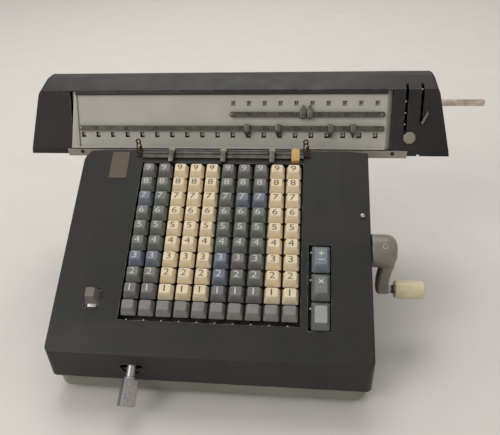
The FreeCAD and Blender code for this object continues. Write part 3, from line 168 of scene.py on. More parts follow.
def blend_colours(tree, factor, first, second):
    """A mix of two colours, each a hex value or the output of an earlier mix."""
    mix = add(tree, "ShaderNodeMix", {"data_type": "RGBA"}, {0: factor})
    for socket, value in ((6, first), (7, second)):
        if isinstance(value, str):
            mix.inputs[socket].default_value = colour(value)
        else:
            tree.links.new(value, mix.inputs[socket])
    return mix.outputs[2]


def stoved_paint(name, base, bloom, bare, gloss=(0.36, 0.5), rubbed=0.7, sheen=0.5):
    """Stoved enamel on sheet steel: a film with slight orange peel, dulled in patches where hands
    and cloths have been, and rubbed through to a paler undercoat on its edges, which on the charcoal
    cover are also a painted highlight along its rounded edges."""
    material, tree, shader, place = new_material(name, IOR=1.5, Specular_IOR_Level=sheen)
    clouds = noise(tree, place, 45, 4)
    film = ramp(tree, clouds, 0.38, 0.68)
    specks = noise(tree, place, 1.6, 2)
    dust = ramp(tree, specks, 0.66, 0.74, 0, 0.1)
    tint = blend_colours(tree, film, base, bloom)
    tint = blend_colours(tree, dust, tint, bare)
    tint = blend_colours(tree, worn_edges(tree, place, rubbed, 9), tint, bare)
    tree.links.new(tint, shader.inputs["Base Color"])
    surface_finish(tree, shader, place, gloss, 1.1, 0.03)
    return material


def dress(node, material):
    """Gives a solid of the frame its finish."""
    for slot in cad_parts[node].material_slots:
        slot.material = material


dress("base_pan", stoved_paint("light_grey_stoved_paint", "#747269", "#7d7b72", "#a9a69c"))

# Moulded black rubber, matt, greyed by dust.
material, tree, shader, place = new_material("black_rubber", IOR=1.5)
dust = noise(tree, place, 3, 4)
tree.links.new(blend_colours(tree, dust, "#161616", "#2e2d2b"), shader.inputs["Base Color"])
surface_finish(tree, shader, place, (0.7, 0.9), 0.6, 0.05)
dress("rubber_feet", material)


# Inner frame and gear train
# Two steel side plates held apart by tie rods, the slotted guide plate for the key stems and the
# carriage's rail. Crank shaft, idler and pinwheel rotor are machined from steel and oiled. The plates,
# rods, rail, guide plate and stems are made dark as painted shade for the inside seen between the keys.
def machined_metal(name, base, dark, gloss=(0.28, 0.45), drawn=(1, 1, 1)):
    """Bare metal as it leaves the machine or the brush: fine scratches drawn out along one way,
    stained darker where it has been handled."""
    material, tree, shader, place = new_material(name, Metallic=1.0)
    stretched = add(tree, "ShaderNodeMapping", {"Scale": drawn}, {"Vector": place}).outputs[0]
    scratches = noise(tree, stretched, 0.5, 3)
    stain = ramp(tree, noise(tree, place, 7, 5), 0.4, 0.7)
    tint = blend_colours(tree, stain, base, dark)
    tint = blend_colours(tree, worn_edges(tree, place, 0.35, 3), tint, base)
    tree.links.new(tint, shader.inputs["Base Color"])
    wander(tree, shader, scratches, gloss, scratches, 0.4, 0.02)
    return material


# Painted shade: this steel is made dark to stand for the shadowed inside of the machine between the keys.
interior_shade_steel = machined_metal("painted_interior_shade_steel", "#45433f", "#2b2a28", (0.4, 0.6), (1, 1, 0.1))
shaft_steel = machined_metal("turned_steel", "#a4a09a", "#7d7973", drawn=(0.1, 1, 1))
for node in ("side_frame_left", "side_frame_right", "frame_tie_rods", "key_guide_plate", "carriage_rail"):
    dress(node, interior_shade_steel)
for node in ("pinwheel_rotor", "idler_gear", "crank_shaft"):
    dress(node, shaft_steel)

# Housing cover
# A one-piece cover drawn and folded from sheet steel, stoved in dark charcoal. Its lower edge is
# turned in over a bright steel bead, a painted highlight of the lit rim; one slotted screw in the
# right border holds it.
MACHINE = Matrix.Translation((-22.5 * MM, 15.478 * MM, 0))


def plane_at(x, y, z, lean):
    """A plane of the machine through a point in millimetres, leaned back by degrees about X."""
    point = Matrix.Translation((x * MM, y * MM, z * MM))
    return MACHINE @ point @ Matrix.Rotation(math.radians(lean), 4, "X")


def activate(piece):
    """Leaves this piece as the only one selected."""
    bpy.ops.object.select_all(action="DESELECT")
    piece.select_set(True)
    bpy.context.view_layer.objects.active = piece


def settle(piece, name):
    """Names a new piece and moves its place and turn into its mesh."""
    piece.name = name
    piece.data.name = name
    activate(piece)
    bpy.ops.object.transform_apply(location=True, rotation=True, scale=True)
    return piece


def block(name, low, high):
    """A cube between two corners in millimetres, as stock for a piece."""
    bpy.ops.mesh.primitive_cube_add(size=1, location=[(a + b) / 2 * MM for a, b in zip(low, high)])
    bpy.context.object.scale = [(b - a) * MM for a, b in zip(low, high)]
    return settle(bpy.context.object, name)


def drum(name, radius, start, end, sides=32):
    """A cylinder from one point to another in millimetres, as stock for a turned piece."""
    start = Vector(start) * MM
    end = Vector(end) * MM
    turn = (end - start).to_track_quat("Z", "Y").to_euler()
    bpy.ops.mesh.primitive_cylinder_add(vertices=sides, radius=radius * MM, depth=(end - start).length,
                                        location=(start + end) / 2, rotation=turn)
    return settle(bpy.context.object, name)


def open_with(piece, kind, test):
    """Opens a piece for editing with the faces or edges selected that pass the test, which is given
    their middle in millimetres and their normal, or an edge's direction."""
    activate(piece)
    bpy.ops.object.mode_set(mode="EDIT")
    bpy.ops.mesh.select_mode(type="FACE" if kind == "faces" else "EDGE")
    bpy.ops.mesh.select_all(action="DESELECT")
    shape = bmesh.from_edit_mesh(piece.data)
    for element in list(getattr(shape, kind)):
        if kind == "faces":
            middle = element.calc_center_median()
            way = element.normal
        else:
            middle = (element.verts[0].co + element.verts[1].co) / 2
            way = (element.verts[1].co - element.verts[0].co).normalized()
        if test(middle / MM, way):
            element.select_set(True)
    bmesh.update_edit_mesh(piece.data)


def close():
    """Ends the editing of a piece."""
    bpy.ops.object.mode_set(mode="OBJECT")


def pull(x, y, z):
    """Extrudes the selected faces by millimetres."""
    bpy.ops.mesh.extrude_region_move(TRANSFORM_OT_translate={"value": (x * MM, y * MM, z * MM)})


def shift(x, y, z):
    """Moves what is selected by millimetres."""
    bpy.ops.transform.translate(value=(x * MM, y * MM, z * MM))


def modify(piece, kind, **settings):
    """Adds a modifier and applies it."""
    activate(piece)
    modifier = piece.modifiers.new(kind.lower(), kind)
    for name, value in settings.items():
        setattr(modifier, name, value)
    bpy.ops.object.modifier_apply(modifier=modifier.name)
    return piece


def smooth(piece, angle):
    """Shades the piece smooth across edges that turn by less than the angle."""
    activate(piece)
    bpy.ops.object.shade_smooth_by_angle(angle=math.radians(angle))
    return piece


def ease(piece, width, segments=2, angle=35):
    """Rounds the sharp edges and shades the piece smooth between those that stay."""
    modify(piece, "BEVEL", width=width * MM, segments=segments, limit_method="ANGLE",
           angle_limit=math.radians(angle))
    return smooth(piece, 40)


def cut(piece, tool):
    """Takes the tool's shape out of the piece."""
    modify(piece, "BOOLEAN", object=tool, operation="DIFFERENCE", solver="EXACT")
    bpy.data.objects.remove(tool)
    return piece


def coat(piece, material):
    """Gives the whole piece one material."""
    piece.data.materials.clear()
    piece.data.materials.append(material)
    return piece


def joined(name, pieces):
    """Makes one piece of several."""
    activate(pieces[0])
    for piece in pieces[1:]:
        piece.select_set(True)
    bpy.ops.object.join()
    pieces[0].name = name
    return pieces[0]


def placed(piece, plane):
    """Carries a piece made at the origin over to its plane."""
    piece.data.transform(plane)
    piece.data.update()
    return piece


def moved(piece, x, y, z):
    """Moves the piece's mesh by millimetres."""
    piece.data.transform(Matrix.Translation((x * MM, y * MM, z * MM)))
    return piece


def turned(piece, degrees, axis):
    """Turns the piece's mesh about an axis through the origin."""
    piece.data.transform(Matrix.Rotation(math.radians(degrees), 4, axis))
    return piece


def copy_of(piece, move):
    """A copy with its own mesh, moved by millimetres."""
    twin = piece.copy()
    twin.data = piece.data.copy()
    bpy.context.scene.collection.objects.link(twin)
    twin.data.transform(Matrix.Translation(Vector(move) * MM))
    return twin


def fit(piece, body, slot, *nodes):
    """Mounts a finished piece on its body, in place of the plain solids it stands for."""
    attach(piece, body)
    if nodes:
        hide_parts(*nodes)


def slotted_screw(name, radius, rise, material, plane, at, turn, lean=(0, 0, 1)):
    """A cheese-head screw: a low turned head with a sawn slot, seated at a point of a plane."""
    head = drum(name, radius, (0, 0, -0.4), (0, 0, rise), 24)
    ease(head, min(0.3, rise * 0.4))
    slot = block("saw", (-radius * 2, -radius * 0.16, rise * 0.45), (radius * 2, radius * 0.16, rise * 3))
    turned(slot, turn, "Z")
    cut(head, slot)
    upright = Vector(lean).to_track_quat("Z", "Y").to_matrix().to_4x4()
    return coat(placed(head, plane @ Matrix.Translation(Vector(at) * MM) @ upright), material)


# The charcoal's pale edges are partly wear and partly a painted highlight along the cover's rounded edges.
charcoal = stoved_paint("charcoal_stoved_paint", "#292927", "#2f2e2d", "#8a8781", (0.36, 0.48), 1.0, 0.3)
dress("housing_cover", charcoal)
screw_steel = machined_metal("nickelled_screw_steel", "#b9b5ad", "#8a857c", (0.22, 0.36))
screw = slotted_screw("cover_screw", 2.1, 0.9, screw_steel, MACHINE, (136.7, -10, 125.4), 25,
                      (0.06, -0.5, 0.86))
fit(screw, "machine", "plain_steel")

# The rolled lower edge, a bead just proud of the sheet all round, its bright steel a painted
# highlight of the lit rim.
bpy.ops.mesh.primitive_plane_add(size=1)
bead = bpy.context.object
bead.scale = (287.4 * MM, 258.4 * MM, 1)
settle(bead, "cover_edge_bead")
bpy.ops.object.mode_set(mode="EDIT")
bpy.ops.mesh.select_all(action="SELECT")
bpy.ops.mesh.bevel(offset=7 * MM, segments=6, affect="VERTICES")
bpy.ops.mesh.delete(type="ONLY_FACE")
close()
bpy.ops.object.convert(target="CURVE")
bead.data.bevel_depth = 0.75 * MM
bead.data.bevel_resolution = 1
bpy.ops.object.convert(target="MESH")
moved(bead, 0, 0, 24.4)
bpy.ops.object.shade_smooth()
coat(bead, machined_metal("bead_highlight_steel", "#c4c0b8", "#8d8981", (0.3, 0.45)))
fit(placed(bead, MACHINE), "machine", "plain_steel")

# Blank plate
# A small plate of lacquered aluminium, bare, its edges eased and its lacquer yellowed and scuffed.
DECK = plane_at(0, 33.8, 151.15, 30)
material, tree, shader, place = new_material("lacquered_aluminium", Metallic=0.35, IOR=1.5)
stretched = add(tree, "ShaderNodeMapping", {"Scale": (0.2, 1, 1)}, {"Vector": place}).outputs[0]
brush = noise(tree, stretched, 0.5, 4)
tint = blend_colours(tree, brush, "#574f43", "#655c4e")
tint = blend_colours(tree, worn_edges(tree, place, 0.5, 2), tint, "#948a78")
tree.links.new(tint, shader.inputs["Base Color"])
surface_finish(tree, shader, place, (0.4, 0.6), 0.4, 0.02)
dress("blank_plate", material)


# Digit keys
# Ten columns of nine caps moulded in urea plastic, dark grey or cream, each pressed on a flat steel
# stem. The caps slope forward, have a slightly dished top and carry a filled figure from 1 to 9.
COLUMN_TONES = "ddcccdddcc"
BLUE_CAPS = ((1, 7), (1, 3), (2, 3), (6, 3), (6, 2), (7, 7), (8, 7))
KEY_PITCH = 16
ROW_PITCH = 15.7
COLUMNS = range(1, 11)
CAP_TOP = 5.6
CAP_DEPTH = 1.4
STEM_REACH = 24


def column_x(column):
    """The middle of a key column on the deck."""
    return KEY_PITCH * (column - 5.5)


def row_y(row):
    """The back edge of the caps in a row, counted from the back."""
    return 0.9 - ROW_PITCH * row


def urea_plastic(name, base, shade, worn, gloss=(0.3, 0.45)):
    """Moulded urea: dense and satin, faintly mottled, polished and paler where fingers rub it."""
    material, tree, shader, place = new_material(name, IOR=1.5)
    mottle = noise(tree, place, 6, 5)
    flow = ramp(tree, mottle, 0.35, 0.65)
    tint = blend_colours(tree, flow, base, shade)
    tint = blend_colours(tree, worn_edges(tree, place, 0.6, 2.5), tint, worn)
    tree.links.new(tint, shader.inputs["Base Color"])
    surface_finish(tree, shader, place, gloss, 0.5, 0.015)
    return material


def figure_ink(name, base, worn):
    """Wax rubbed into the engraved figure, partly worn out of it."""
    material, tree, shader, place = new_material(name, IOR=1.45)
    wear = noise(tree, place, 0.9, 3)
    gone = ramp(tree, wear, 0.5, 0.75)
    tree.links.new(blend_colours(tree, gone, base, worn), shader.inputs["Base Color"])
    surface_finish(tree, shader, place, (0.5, 0.7), 0.4, 0.01)
    return material


def figure(text, height, middle, material, stretch, weight=0, detail=3):
    """A flat figure made a mesh, its middle at a point of the plane it lies in."""
    bpy.ops.object.text_add()
    piece = bpy.context.object
    piece.data.body = text
    piece.data.size = height * MM / 0.73
    piece.data.offset = weight * MM
    piece.data.resolution_u = detail
    bpy.ops.object.convert(target="MESH")
    corners = [vertex.co for vertex in piece.data.vertices]
    centre = [(min(c[axis] for c in corners) + max(c[axis] for c in corners)) / 2 for axis in (0, 1)]
    piece.data.transform(Matrix.Translation(Vector(middle) * MM) @ Matrix.Diagonal((stretch, 1, 1, 1))
                         @ Matrix.Translation((-centre[0], -centre[1], 0)))
    return coat(piece, material)


def key_cap(name, size, rise, top, setback, corner, rim, dish):
    """A cap with its back edge at y 0: the top is drawn in and set back, corners and rim rounded."""
    width, length = size
    cap = block(name, (-width / 2, -length, -CAP_DEPTH), (width / 2, 0, rise))
    open_with(cap, "faces", lambda middle, way: way.z > 0.9)
    bpy.ops.transform.resize(value=(top[0] / width, top[1] / length, 1))
    shift(0, length / 2 - setback - top[1] / 2, 0)
    close()
    open_with(cap, "edges", lambda middle, way: abs(way.z) > 0.4 and abs(middle.z - rise) > 0.1)
    bpy.ops.mesh.bevel(offset=corner * MM, segments=3, affect="EDGES")
    close()
    open_with(cap, "edges", lambda middle, way: middle.z > rise - 0.01)
    bpy.ops.mesh.bevel(offset=rim * MM, segments=2, affect="EDGES")
    close()
    open_with(cap, "faces", lambda middle, way: way.z > 0.99 and middle.z > rise - 0.1)
    bpy.ops.mesh.inset(thickness=0.7 * MM)
    shift(0, 0, -dish)
    close()
    smooth(cap, 42)
    return modify(cap, "WEIGHTED_NORMAL", keep_sharp=True)


def stem(length):
    """The flat steel stem under a cap."""
    shank = block("stem", (-1, -length / 2 - 2.5, -STEM_REACH), (1, -length / 2 + 2.5, -1))
    return coat(ease(shank, 0.25, 1), interior_shade_steel)


cap_tones = {
    "warm": urea_plastic("dark_urea_warm_grey", "#716d6b", "#7b7875", "#a39e99"),
    "green": urea_plastic("dark_urea_green_grey", "#70716a", "#7a7b74", "#9fa097"),
    "blue": urea_plastic("dark_urea_blue_grey", "#6e7380", "#797e8a", "#a0a5b0"),
    "cream": urea_plastic("cream_urea", "#ead9b9", "#e0ccaa", "#f3ebd9"),
    "grey": urea_plastic("clear_key_grey_urea", "#7d7a76", "#868480", "#a6a39d"),
}
pale_ink = figure_ink("pale_figure_wax", "#d9d6d0", "#9b9a94")
dark_ink = figure_ink("dark_figure_wax", "#4b4a47", "#8a8271")
plain_cap = key_cap("digit_cap", (14.2, 13.8), CAP_TOP, (10.4, 8.2), 0.9, 1.3, 0.5, 0.1)
plain_stem = stem(13.8)
for column in COLUMNS:
    x = column_x(column)
    cream = COLUMN_TONES[column - 1] == "c"
    parts = []
    for row in range(9):
        digit = 9 - row
        back = row_y(row)
        if cream:
            tone = "cream"
        elif (column, digit) in BLUE_CAPS:
            tone = "blue"
        else:
            tone = "warm" if digit in (9, 3, 1) else "green"
        parts.append(coat(copy_of(plain_cap, (x, back, 0)), cap_tones[tone]))
        parts.append(copy_of(plain_stem, (x, back, 0)))
        ink = dark_ink if cream else pale_ink
        stretch, weight = (1.4, -0.06) if digit > 1 else (1.2, 0.06)
        parts.append(figure(str(digit), 6.2, (x - 0.5, back - 4.9, CAP_TOP + 0.015), ink, stretch, weight))
    keys = placed(joined(f"digit_caps_{column}", parts), DECK)
    fit(keys, f"digit_keys_{column}", "cream_key_plastic" if cream else "dark_key_plastic",
        f"digit_keys_column_{column}")

# Clearing keys
# One blank grey cap at the foot of each column, moulded like the digit keys.
for column in COLUMNS:
    move = (column_x(column), row_y(9), 0)
    parts = [coat(copy_of(plain_cap, move), cap_tones["grey"]), copy_of(plain_stem, move)]
    key = placed(joined(f"clear_cap_{column}", parts), DECK)
    fit(key, f"clear_key_{column}", "grey_key_plastic", f"clear_key_{column}")

# The comb in front of the last row, whose bright tabs keep the stems in line.
comb = coat(block("comb_strip", (-79, -158.4, -7), (79, -157.7, -3.6)), interior_shade_steel)
comb_tab = coat(ease(block("comb_tab", (-0.8, -158.2, -4.2), (0.8, -156.9, -2.4)), 0.25), screw_steel)
parts = [comb] + [copy_of(comb_tab, (column_x(column) - 1.5, 0, 0)) for column in COLUMNS]
bpy.data.objects.remove(comb_tab)
fit(placed(joined("stem_comb", parts), DECK), "machine", "plain_steel")
bpy.data.objects.remove(plain_cap)
bpy.data.objects.remove(plain_stem)

# Function keys
# Three long caps in a column at the right: plus and minus, multiply and divide, and a blank one with
# a paler top. The signs are engraved and filled; stems are as on the digit keys.
FUNCTION_X = 98.6
POST_X = 89.7
slate = urea_plastic("slate_urea", "#757c82", "#80878c", "#a9afb2")
moss = urea_plastic("moss_grey_urea", "#6e716c", "#797c77", "#9fa39b")
pale_top = urea_plastic("pale_urea_top", "#93958f", "#9d9f99", "#b8bab3")
worn_ink = figure_ink("worn_figure_wax", "#8b8f8a", "#6c706b")
for row, (name, tone, signs) in enumerate((("plus_minus_key", slate, "+–"),
                                           ("multiply_divide_key", moss, "×÷"),
                                           ("blank_function_key", moss, ""))):
    back = -82.7 - 26.4 * row
    cap = coat(key_cap(f"{name}_cap", (16.4, 25.2), 7.4, (10.8, 15), 5.4, 1.6, 0.7, 0.15), tone)
    if not signs:
        cap.data.materials.append(pale_top)
        for face in cap.data.polygons:
            if face.normal.z > 0.8 and face.center.z > 6.8 * MM:
                face.material_index = 1
    parts = [cap, stem(25.2)]
    for sign, y in zip(signs, (-9.6, -15.6)):
        parts.append(figure(sign, 6.4, (0, y, 7.42), worn_ink if sign == "÷" else pale_ink, 1.2, 0.06))
    cap = joined(f"{name}_cap", parts)
    moved(cap, FUNCTION_X, back, 0)
    fit(placed(cap, DECK), name, "dark_key_plastic", name)
    post = drum(f"{name}_stop_post", 0.9, (POST_X, back - 6, -9), (POST_X, back - 6, -1.2), 16)
    fit(placed(coat(ease(post, 0.3), screw_steel), DECK), "machine", "plain_steel")

# Setting key
# A narrow tapering key at the left, in grey plastic on a bright steel tongue that shows in front, with
# a dark apron that closes the slot round it.
cap = key_cap("setting_key_cap", (13, 15), 8.5, (8.2, 8.4), 1.4, 1.4, 0.6, 0.12)
coat(cap, urea_plastic("setting_key_urea", "#6d6763", "#78726d", "#a19b94"))
tongue = coat(ease(block("tongue", (-3.3, -17.0, -1.0), (4.9, -7, -0.2)), 0.3),
              machined_metal("bright_tongue_steel", "#b3aea6", "#8a867f", (0.3, 0.45)))
apron = coat(ease(block("apron", (-6.9, -17.8, -1.9), (6.9, 0.6, -1.1)), 0.2, 2), charcoal)
cap = joined("setting_key_cap", [cap, tongue, apron, stem(14.5)])
moved(cap, -107.3, -131, 0)
fit(placed(cap, DECK), "setting_key", "dark_key_plastic", "setting_key")

# Keyboard marker bar, its clips and the wire pointers
# A flat steel rule behind the keys with a mark at each column. Three stamped T-shaped clips and a
# yellow one, its point to the back, slide on it. Two bent wires beside it point to the carriage.
MARKER_BAR_Y = 9.2
bar_steel = machined_metal("tarnished_bar_steel", "#65625d", "#4d4b47", (0.42, 0.58), (0.08, 1, 1))
bar_screw_steel = machined_metal("tarnished_screw_steel", "#84807a", "#5d5a55", (0.35, 0.5))
dress("marker_bar", bar_steel)
mark_paint = figure_ink("dark_mark_paint", "#191814", "#37342e")
marks = [figure("|", 1.5, (column_x(column), MARKER_BAR_Y + 5.6, 3.03), mark_paint, 2.2)
         for column in COLUMNS]
fit(placed(joined("marker_bar_marks", marks), DECK), "machine", "bar_metal")
for side, x in (("left", -78.5), ("right", 78.5)):
    screw = slotted_screw(f"marker_bar_screw_{side}", 1.3, 0.5, bar_screw_steel, DECK,
                          (x, MARKER_BAR_Y + 2, 2), 40)
    fit(screw, "machine", "plain_steel")

clip_metal = machined_metal("dull_clip_alloy", "#7b7873", "#5a5853", (0.38, 0.52))
yellow = stoved_paint("yellow_clip_paint", "#c9a25a", "#b9924e", "#d8c390", (0.35, 0.5))


def bar_channel(low, high, bottom, top):
    """The room that the bar takes in a clip, as a tool for cut."""
    return block("channel", (-9, low, bottom), (9, high, top))


for body, x in (("keyboard_clip_1", -51), ("keyboard_clip_2", 1.6), ("keyboard_clip_3", 50.2)):
    clip = block(f"{body}_tee", (-3.8, 4.2, 0.3), (3.8, 8.1, 6.4))
    open_with(clip, "faces", lambda middle, way: way.y < -0.9)
    bpy.ops.mesh.inset(thickness=0.01 * MM)
    bpy.ops.transform.resize(value=(0.64, 1, 1))
    pull(0, -5.7, 0)
    pull(0, -4.4, 0)
    bpy.ops.transform.resize(value=(0.86, 1, 0.55))
    close()
    open_with(clip, "edges", lambda middle, way: abs(way.y) > 0.9 and middle.z > 6 and middle.y > 4.2)
    bpy.ops.mesh.bevel(offset=1.3 * MM, segments=4, affect="EDGES")
    close()
    ease(cut(clip, bar_channel(-0.3, 6.9, -1, 3.3)), 0.25)
    moved(clip, x, MARKER_BAR_Y, 0)
    fit(placed(coat(clip, clip_metal), DECK), body, "clip_metal", body)

clip = block("yellow_clip_pentagon", (-3.9, -4.6, 0.3), (3.9, 6.9, 6.2))
open_with(clip, "faces", lambda middle, way: way.y > 0.9)
bpy.ops.mesh.inset(thickness=0.02 * MM)
pull(0, 1.2, 0)
pull(0, 1.5, 0)
bpy.ops.transform.resize(value=(0.2, 1, 0.8))
close()
ease(cut(clip, bar_channel(-0.3, 6.9, -1, 3.3)), 0.4, 3)
moved(clip, 73.2, MARKER_BAR_Y, 0)
fit(placed(coat(clip, yellow), DECK), "yellow_keyboard_clip", "yellow_paint", "yellow_keyboard_clip")

WIRE_RADIUS = 0.75
wire_metal = machined_metal("browned_wire", "#5a4636", "#33271e", (0.35, 0.5))
parts = []
for x in (-84.1, 84.1):
    foot = Vector((x, 45.1, 157.7))
    top = foot + Vector((-1.2, 3.1, 12.4))
    for side in (-1, 1):
        elbow = foot + Vector((side * 2.7 - 0.4, 0.8, 5.8))
        parts.append(drum("leg", WIRE_RADIUS, foot + Vector((side * 3, 0, -0.6)), elbow, 12))
        parts.append(drum("leg", WIRE_RADIUS, elbow, top + Vector((side * 1.5, -0.1, 0.6)), 12))
    bpy.ops.mesh.primitive_torus_add(location=(top + Vector((0, 0, 1.6))) * MM,
                                     rotation=(math.radians(90), 0, 0),
                                     major_radius=2.1 * MM, minor_radius=WIRE_RADIUS * MM,
                                     major_segments=24, minor_segments=10)
    parts.append(settle(bpy.context.object, "eye"))
    saddle = ease(block("saddle", (-3.8, -1.7, -0.2), (3.8, 1.7, 1.7)), 0.5, 3)
    saddle.data.transform(Matrix.Translation(foot * MM) @ Matrix.Rotation(math.radians(30), 4, "X"))
    parts.append(saddle)
    twist = drum("twist", 1.15, foot + Vector((0, 1, 4)), foot + Vector((0, 2.2, 9)), 12)
    parts.append(ease(twist, 0.4))
for part in parts:
    coat(part, wire_metal)
wires = placed(joined("bent_wire_pointers", parts), MACHINE)
smooth(wires, 40)
fit(wires, "machine", "brown_wire", "wire_pointers")

# Front shift lever
# Cast in light alloy: a round stem from the pivot inside the cover, a short collar, and a square
# grip turned about its own length, bright on its right side; the dark on its left is painted shade.
LEVER = plane_at(-66.2, -100, 54.5, 30)
grip = block("shift_lever_grip", (-6.75, -66, -5.2), (6.75, -43.4, 5.2))
open_with(grip, "faces", lambda middle, way: way.y > 0.9)
bpy.ops.transform.resize(value=(0.88, 1, 0.95))
bpy.ops.mesh.inset(thickness=0.9 * MM)
pull(0, 1.6, 0)
bpy.ops.transform.resize(value=(0.8, 1, 0.9))
close()
ease(grip, 1.0, 3, 25)
turned(grip, 35, "Y")
shank = ease(drum("stem", 4, (0, 0, 0), (0, -44.5, 0), 28), 0.3)
pivot = drum("pivot", 5, (0, 0, -4), (0, 0, 4))
turned(pivot, -30, "X")
ease(pivot, 0.5)
# Cast aluminium alloy, sand grain in the sides, worn bright and scratched where it is held.
material, tree, shader, place = new_material("cast_light_alloy", Metallic=0.85)
grit = noise(tree, place, 1.3, 5)
rub = ramp(tree, grit, 0.45, 0.68)
tint = blend_colours(tree, rub, "#9a979b", "#b3b0b4")
tint = blend_colours(tree, worn_edges(tree, place, 0.9, 2), tint, "#d9d7da")
tree.links.new(tint, shader.inputs["Base Color"])
surface_finish(tree, shader, place, (0.28, 0.42), 1.4, 0.05)
collar = ease(drum("collar", 5.4, (0, -41.2, 0), (0, -43.6, 0), 28), 0.8, 3)
lever = joined("shift_lever", [coat(part, material) for part in (grip, shank, collar, pivot)])
# The grip's left-facing faces get a dark paint: painted shade for the side turned from the light.
lever.data.materials.append(stoved_paint("painted_shade_lever_side", "#57594c", "#64665a", "#8a8b80", (0.35, 0.5)))
for face in lever.data.polygons:
    if face.center.y < -44 * MM and face.normal.x < -0.35:
        face.material_index = 1
fit(placed(lever, LEVER), "front_shift_lever", "lever_alloy", "front_shift_lever")

# Crank and its knob
# One iron casting, hub and arm in a single flow of metal, painted warm grey; a socket set screw
# fixes it on the shaft. The knob is turned from cream plastic and spins on a steel pin.
CRANK = plane_at(0, -28, 99, -11)
PIN_Z = -40.5
hub = drum("crank_hub", 15.5, (144.2, 0, 0), (168.4, 0, 0), 64)
open_with(hub, "edges", lambda middle, way: middle.x > 168.3 and abs(way.x) < 0.1)
bpy.ops.mesh.bevel(offset=9.6 * MM, segments=10, affect="EDGES")
close()
arm = block("crank_arm_blank", (152.2, -7.5, -43), (163.6, 7.5, -29))
for rise, lean, swell in ((8, 1.2, 1.0), (8, 2.0, 1.08), (8, 0.9, 1.1), (6, -0.6, 1.1)):
    open_with(arm, "faces", lambda middle, way: way.z > 0.9)
    pull(lean, 0, rise)
    bpy.ops.transform.resize(value=(1, swell, 1))
    close()
ease(arm, 2.2, 4, 25)
modify(hub, "BOOLEAN", object=arm, operation="UNION", solver="EXACT")
bpy.data.objects.remove(arm)
modify(hub, "REMESH", mode="VOXEL", voxel_size=0.75 * MM)
modify(hub, "SMOOTH", factor=0.5, iterations=24)
flat = block("hub_face", (140, -30, -60), (145.0, 30, 30))
cut(hub, flat)
smooth(hub, 50)
material, tree, shader, place = new_material("painted_iron_casting", IOR=1.5)
clouds = noise(tree, place, 9, 5)
tint = blend_colours(tree, clouds, "#756d66", "#8a8177")
grit = noise(tree, place, 1.5, 3)
pits = ramp(tree, grit, 0.62, 0.75, 0, 0.5)
tree.links.new(blend_colours(tree, pits, tint, "#8d857b"), shader.inputs["Base Color"])
surface_finish(tree, shader, place, (0.26, 0.38), 1.8, 0.07)
coat(hub, material)
pin = coat(ease(drum("knob_pin", 3, (160, 0, PIN_Z), (192, 0, PIN_Z)), 0.3), shaft_steel)
collar = coat(ease(drum("pin_collar", 4.4, (163.2, 0, PIN_Z), (165.4, 0, PIN_Z)), 0.3), shaft_steel)
washer = coat(ease(drum("pin_washer", 3.9, (166.8, 0, PIN_Z), (168.6, 0, PIN_Z)), 0.3), interior_shade_steel)
crank = joined("crank_casting", [hub, pin, collar, washer])
fit(placed(crank, CRANK), "crank", "crank_casting", "crank_arm")

ring = drum("crank_set_screw", 2.5, (0, 0, -1.6), (0, 0, 0.6), 24)
open_with(ring, "faces", lambda middle, way: way.z > 0.9)
bpy.ops.mesh.inset(thickness=1.1 * MM)
pull(0, 0, -1.1)
close()
ease(ring, 0.2)
seat = (MACHINE @ Matrix.Translation((156 * MM, -37.2 * MM, 110.8 * MM))
        @ Vector((0, -9.2, 11.8)).to_track_quat("Z", "Y").to_matrix().to_4x4())
fit(placed(coat(ring, screw_steel), seat), "crank", "plain_steel")

knob = drum("crank_knob_cream", 8.8, (169.6, 0, 0), (196.6, 0, 0), 64)
ease(knob, 1.4, 4)
bore = drum("bore", 3.1, (160, 0, 0), (193.4, 0, 0))
cut(knob, bore)
seam = drum("relief", 5.2, (160, 0, 0), (170.6, 0, 0), 48)
cut(knob, seam)
smooth(knob, 40)
coat(knob, urea_plastic("cream_knob_urea", "#dccfac", "#d2c4a0", "#ece4cb", (0.14, 0.24)))
placed(knob, CRANK @ Matrix.Translation((0, 0, PIN_Z * MM)))
fit(knob, "crank_knob", "cream_knob_plastic", "crank_knob")

# Carriage frame
# A folded steel floor that slides on the rail, with uprights for the dial shafts. Its front edge is
# the pale lip that shows below the panel, with a countersunk screw near each end.
lip_paint = stoved_paint("beige_grey_lip_paint", "#938b7f", "#9c9488", "#c0b8aa")
dress("carriage_frame", lip_paint)
dark_steel = machined_metal("blackened_screw_steel", "#4d463f", "#2d2925", (0.35, 0.5))
for side, x in (("left", -154), ("right", 169.6)):
    screw = slotted_screw(f"lip_screw_{side}", 2.0, 0.5, dark_steel, MACHINE, (x, 64.35, 151.6), 15,
                          (0, -1, 0))
    fit(screw, "carriage", "plain_steel")

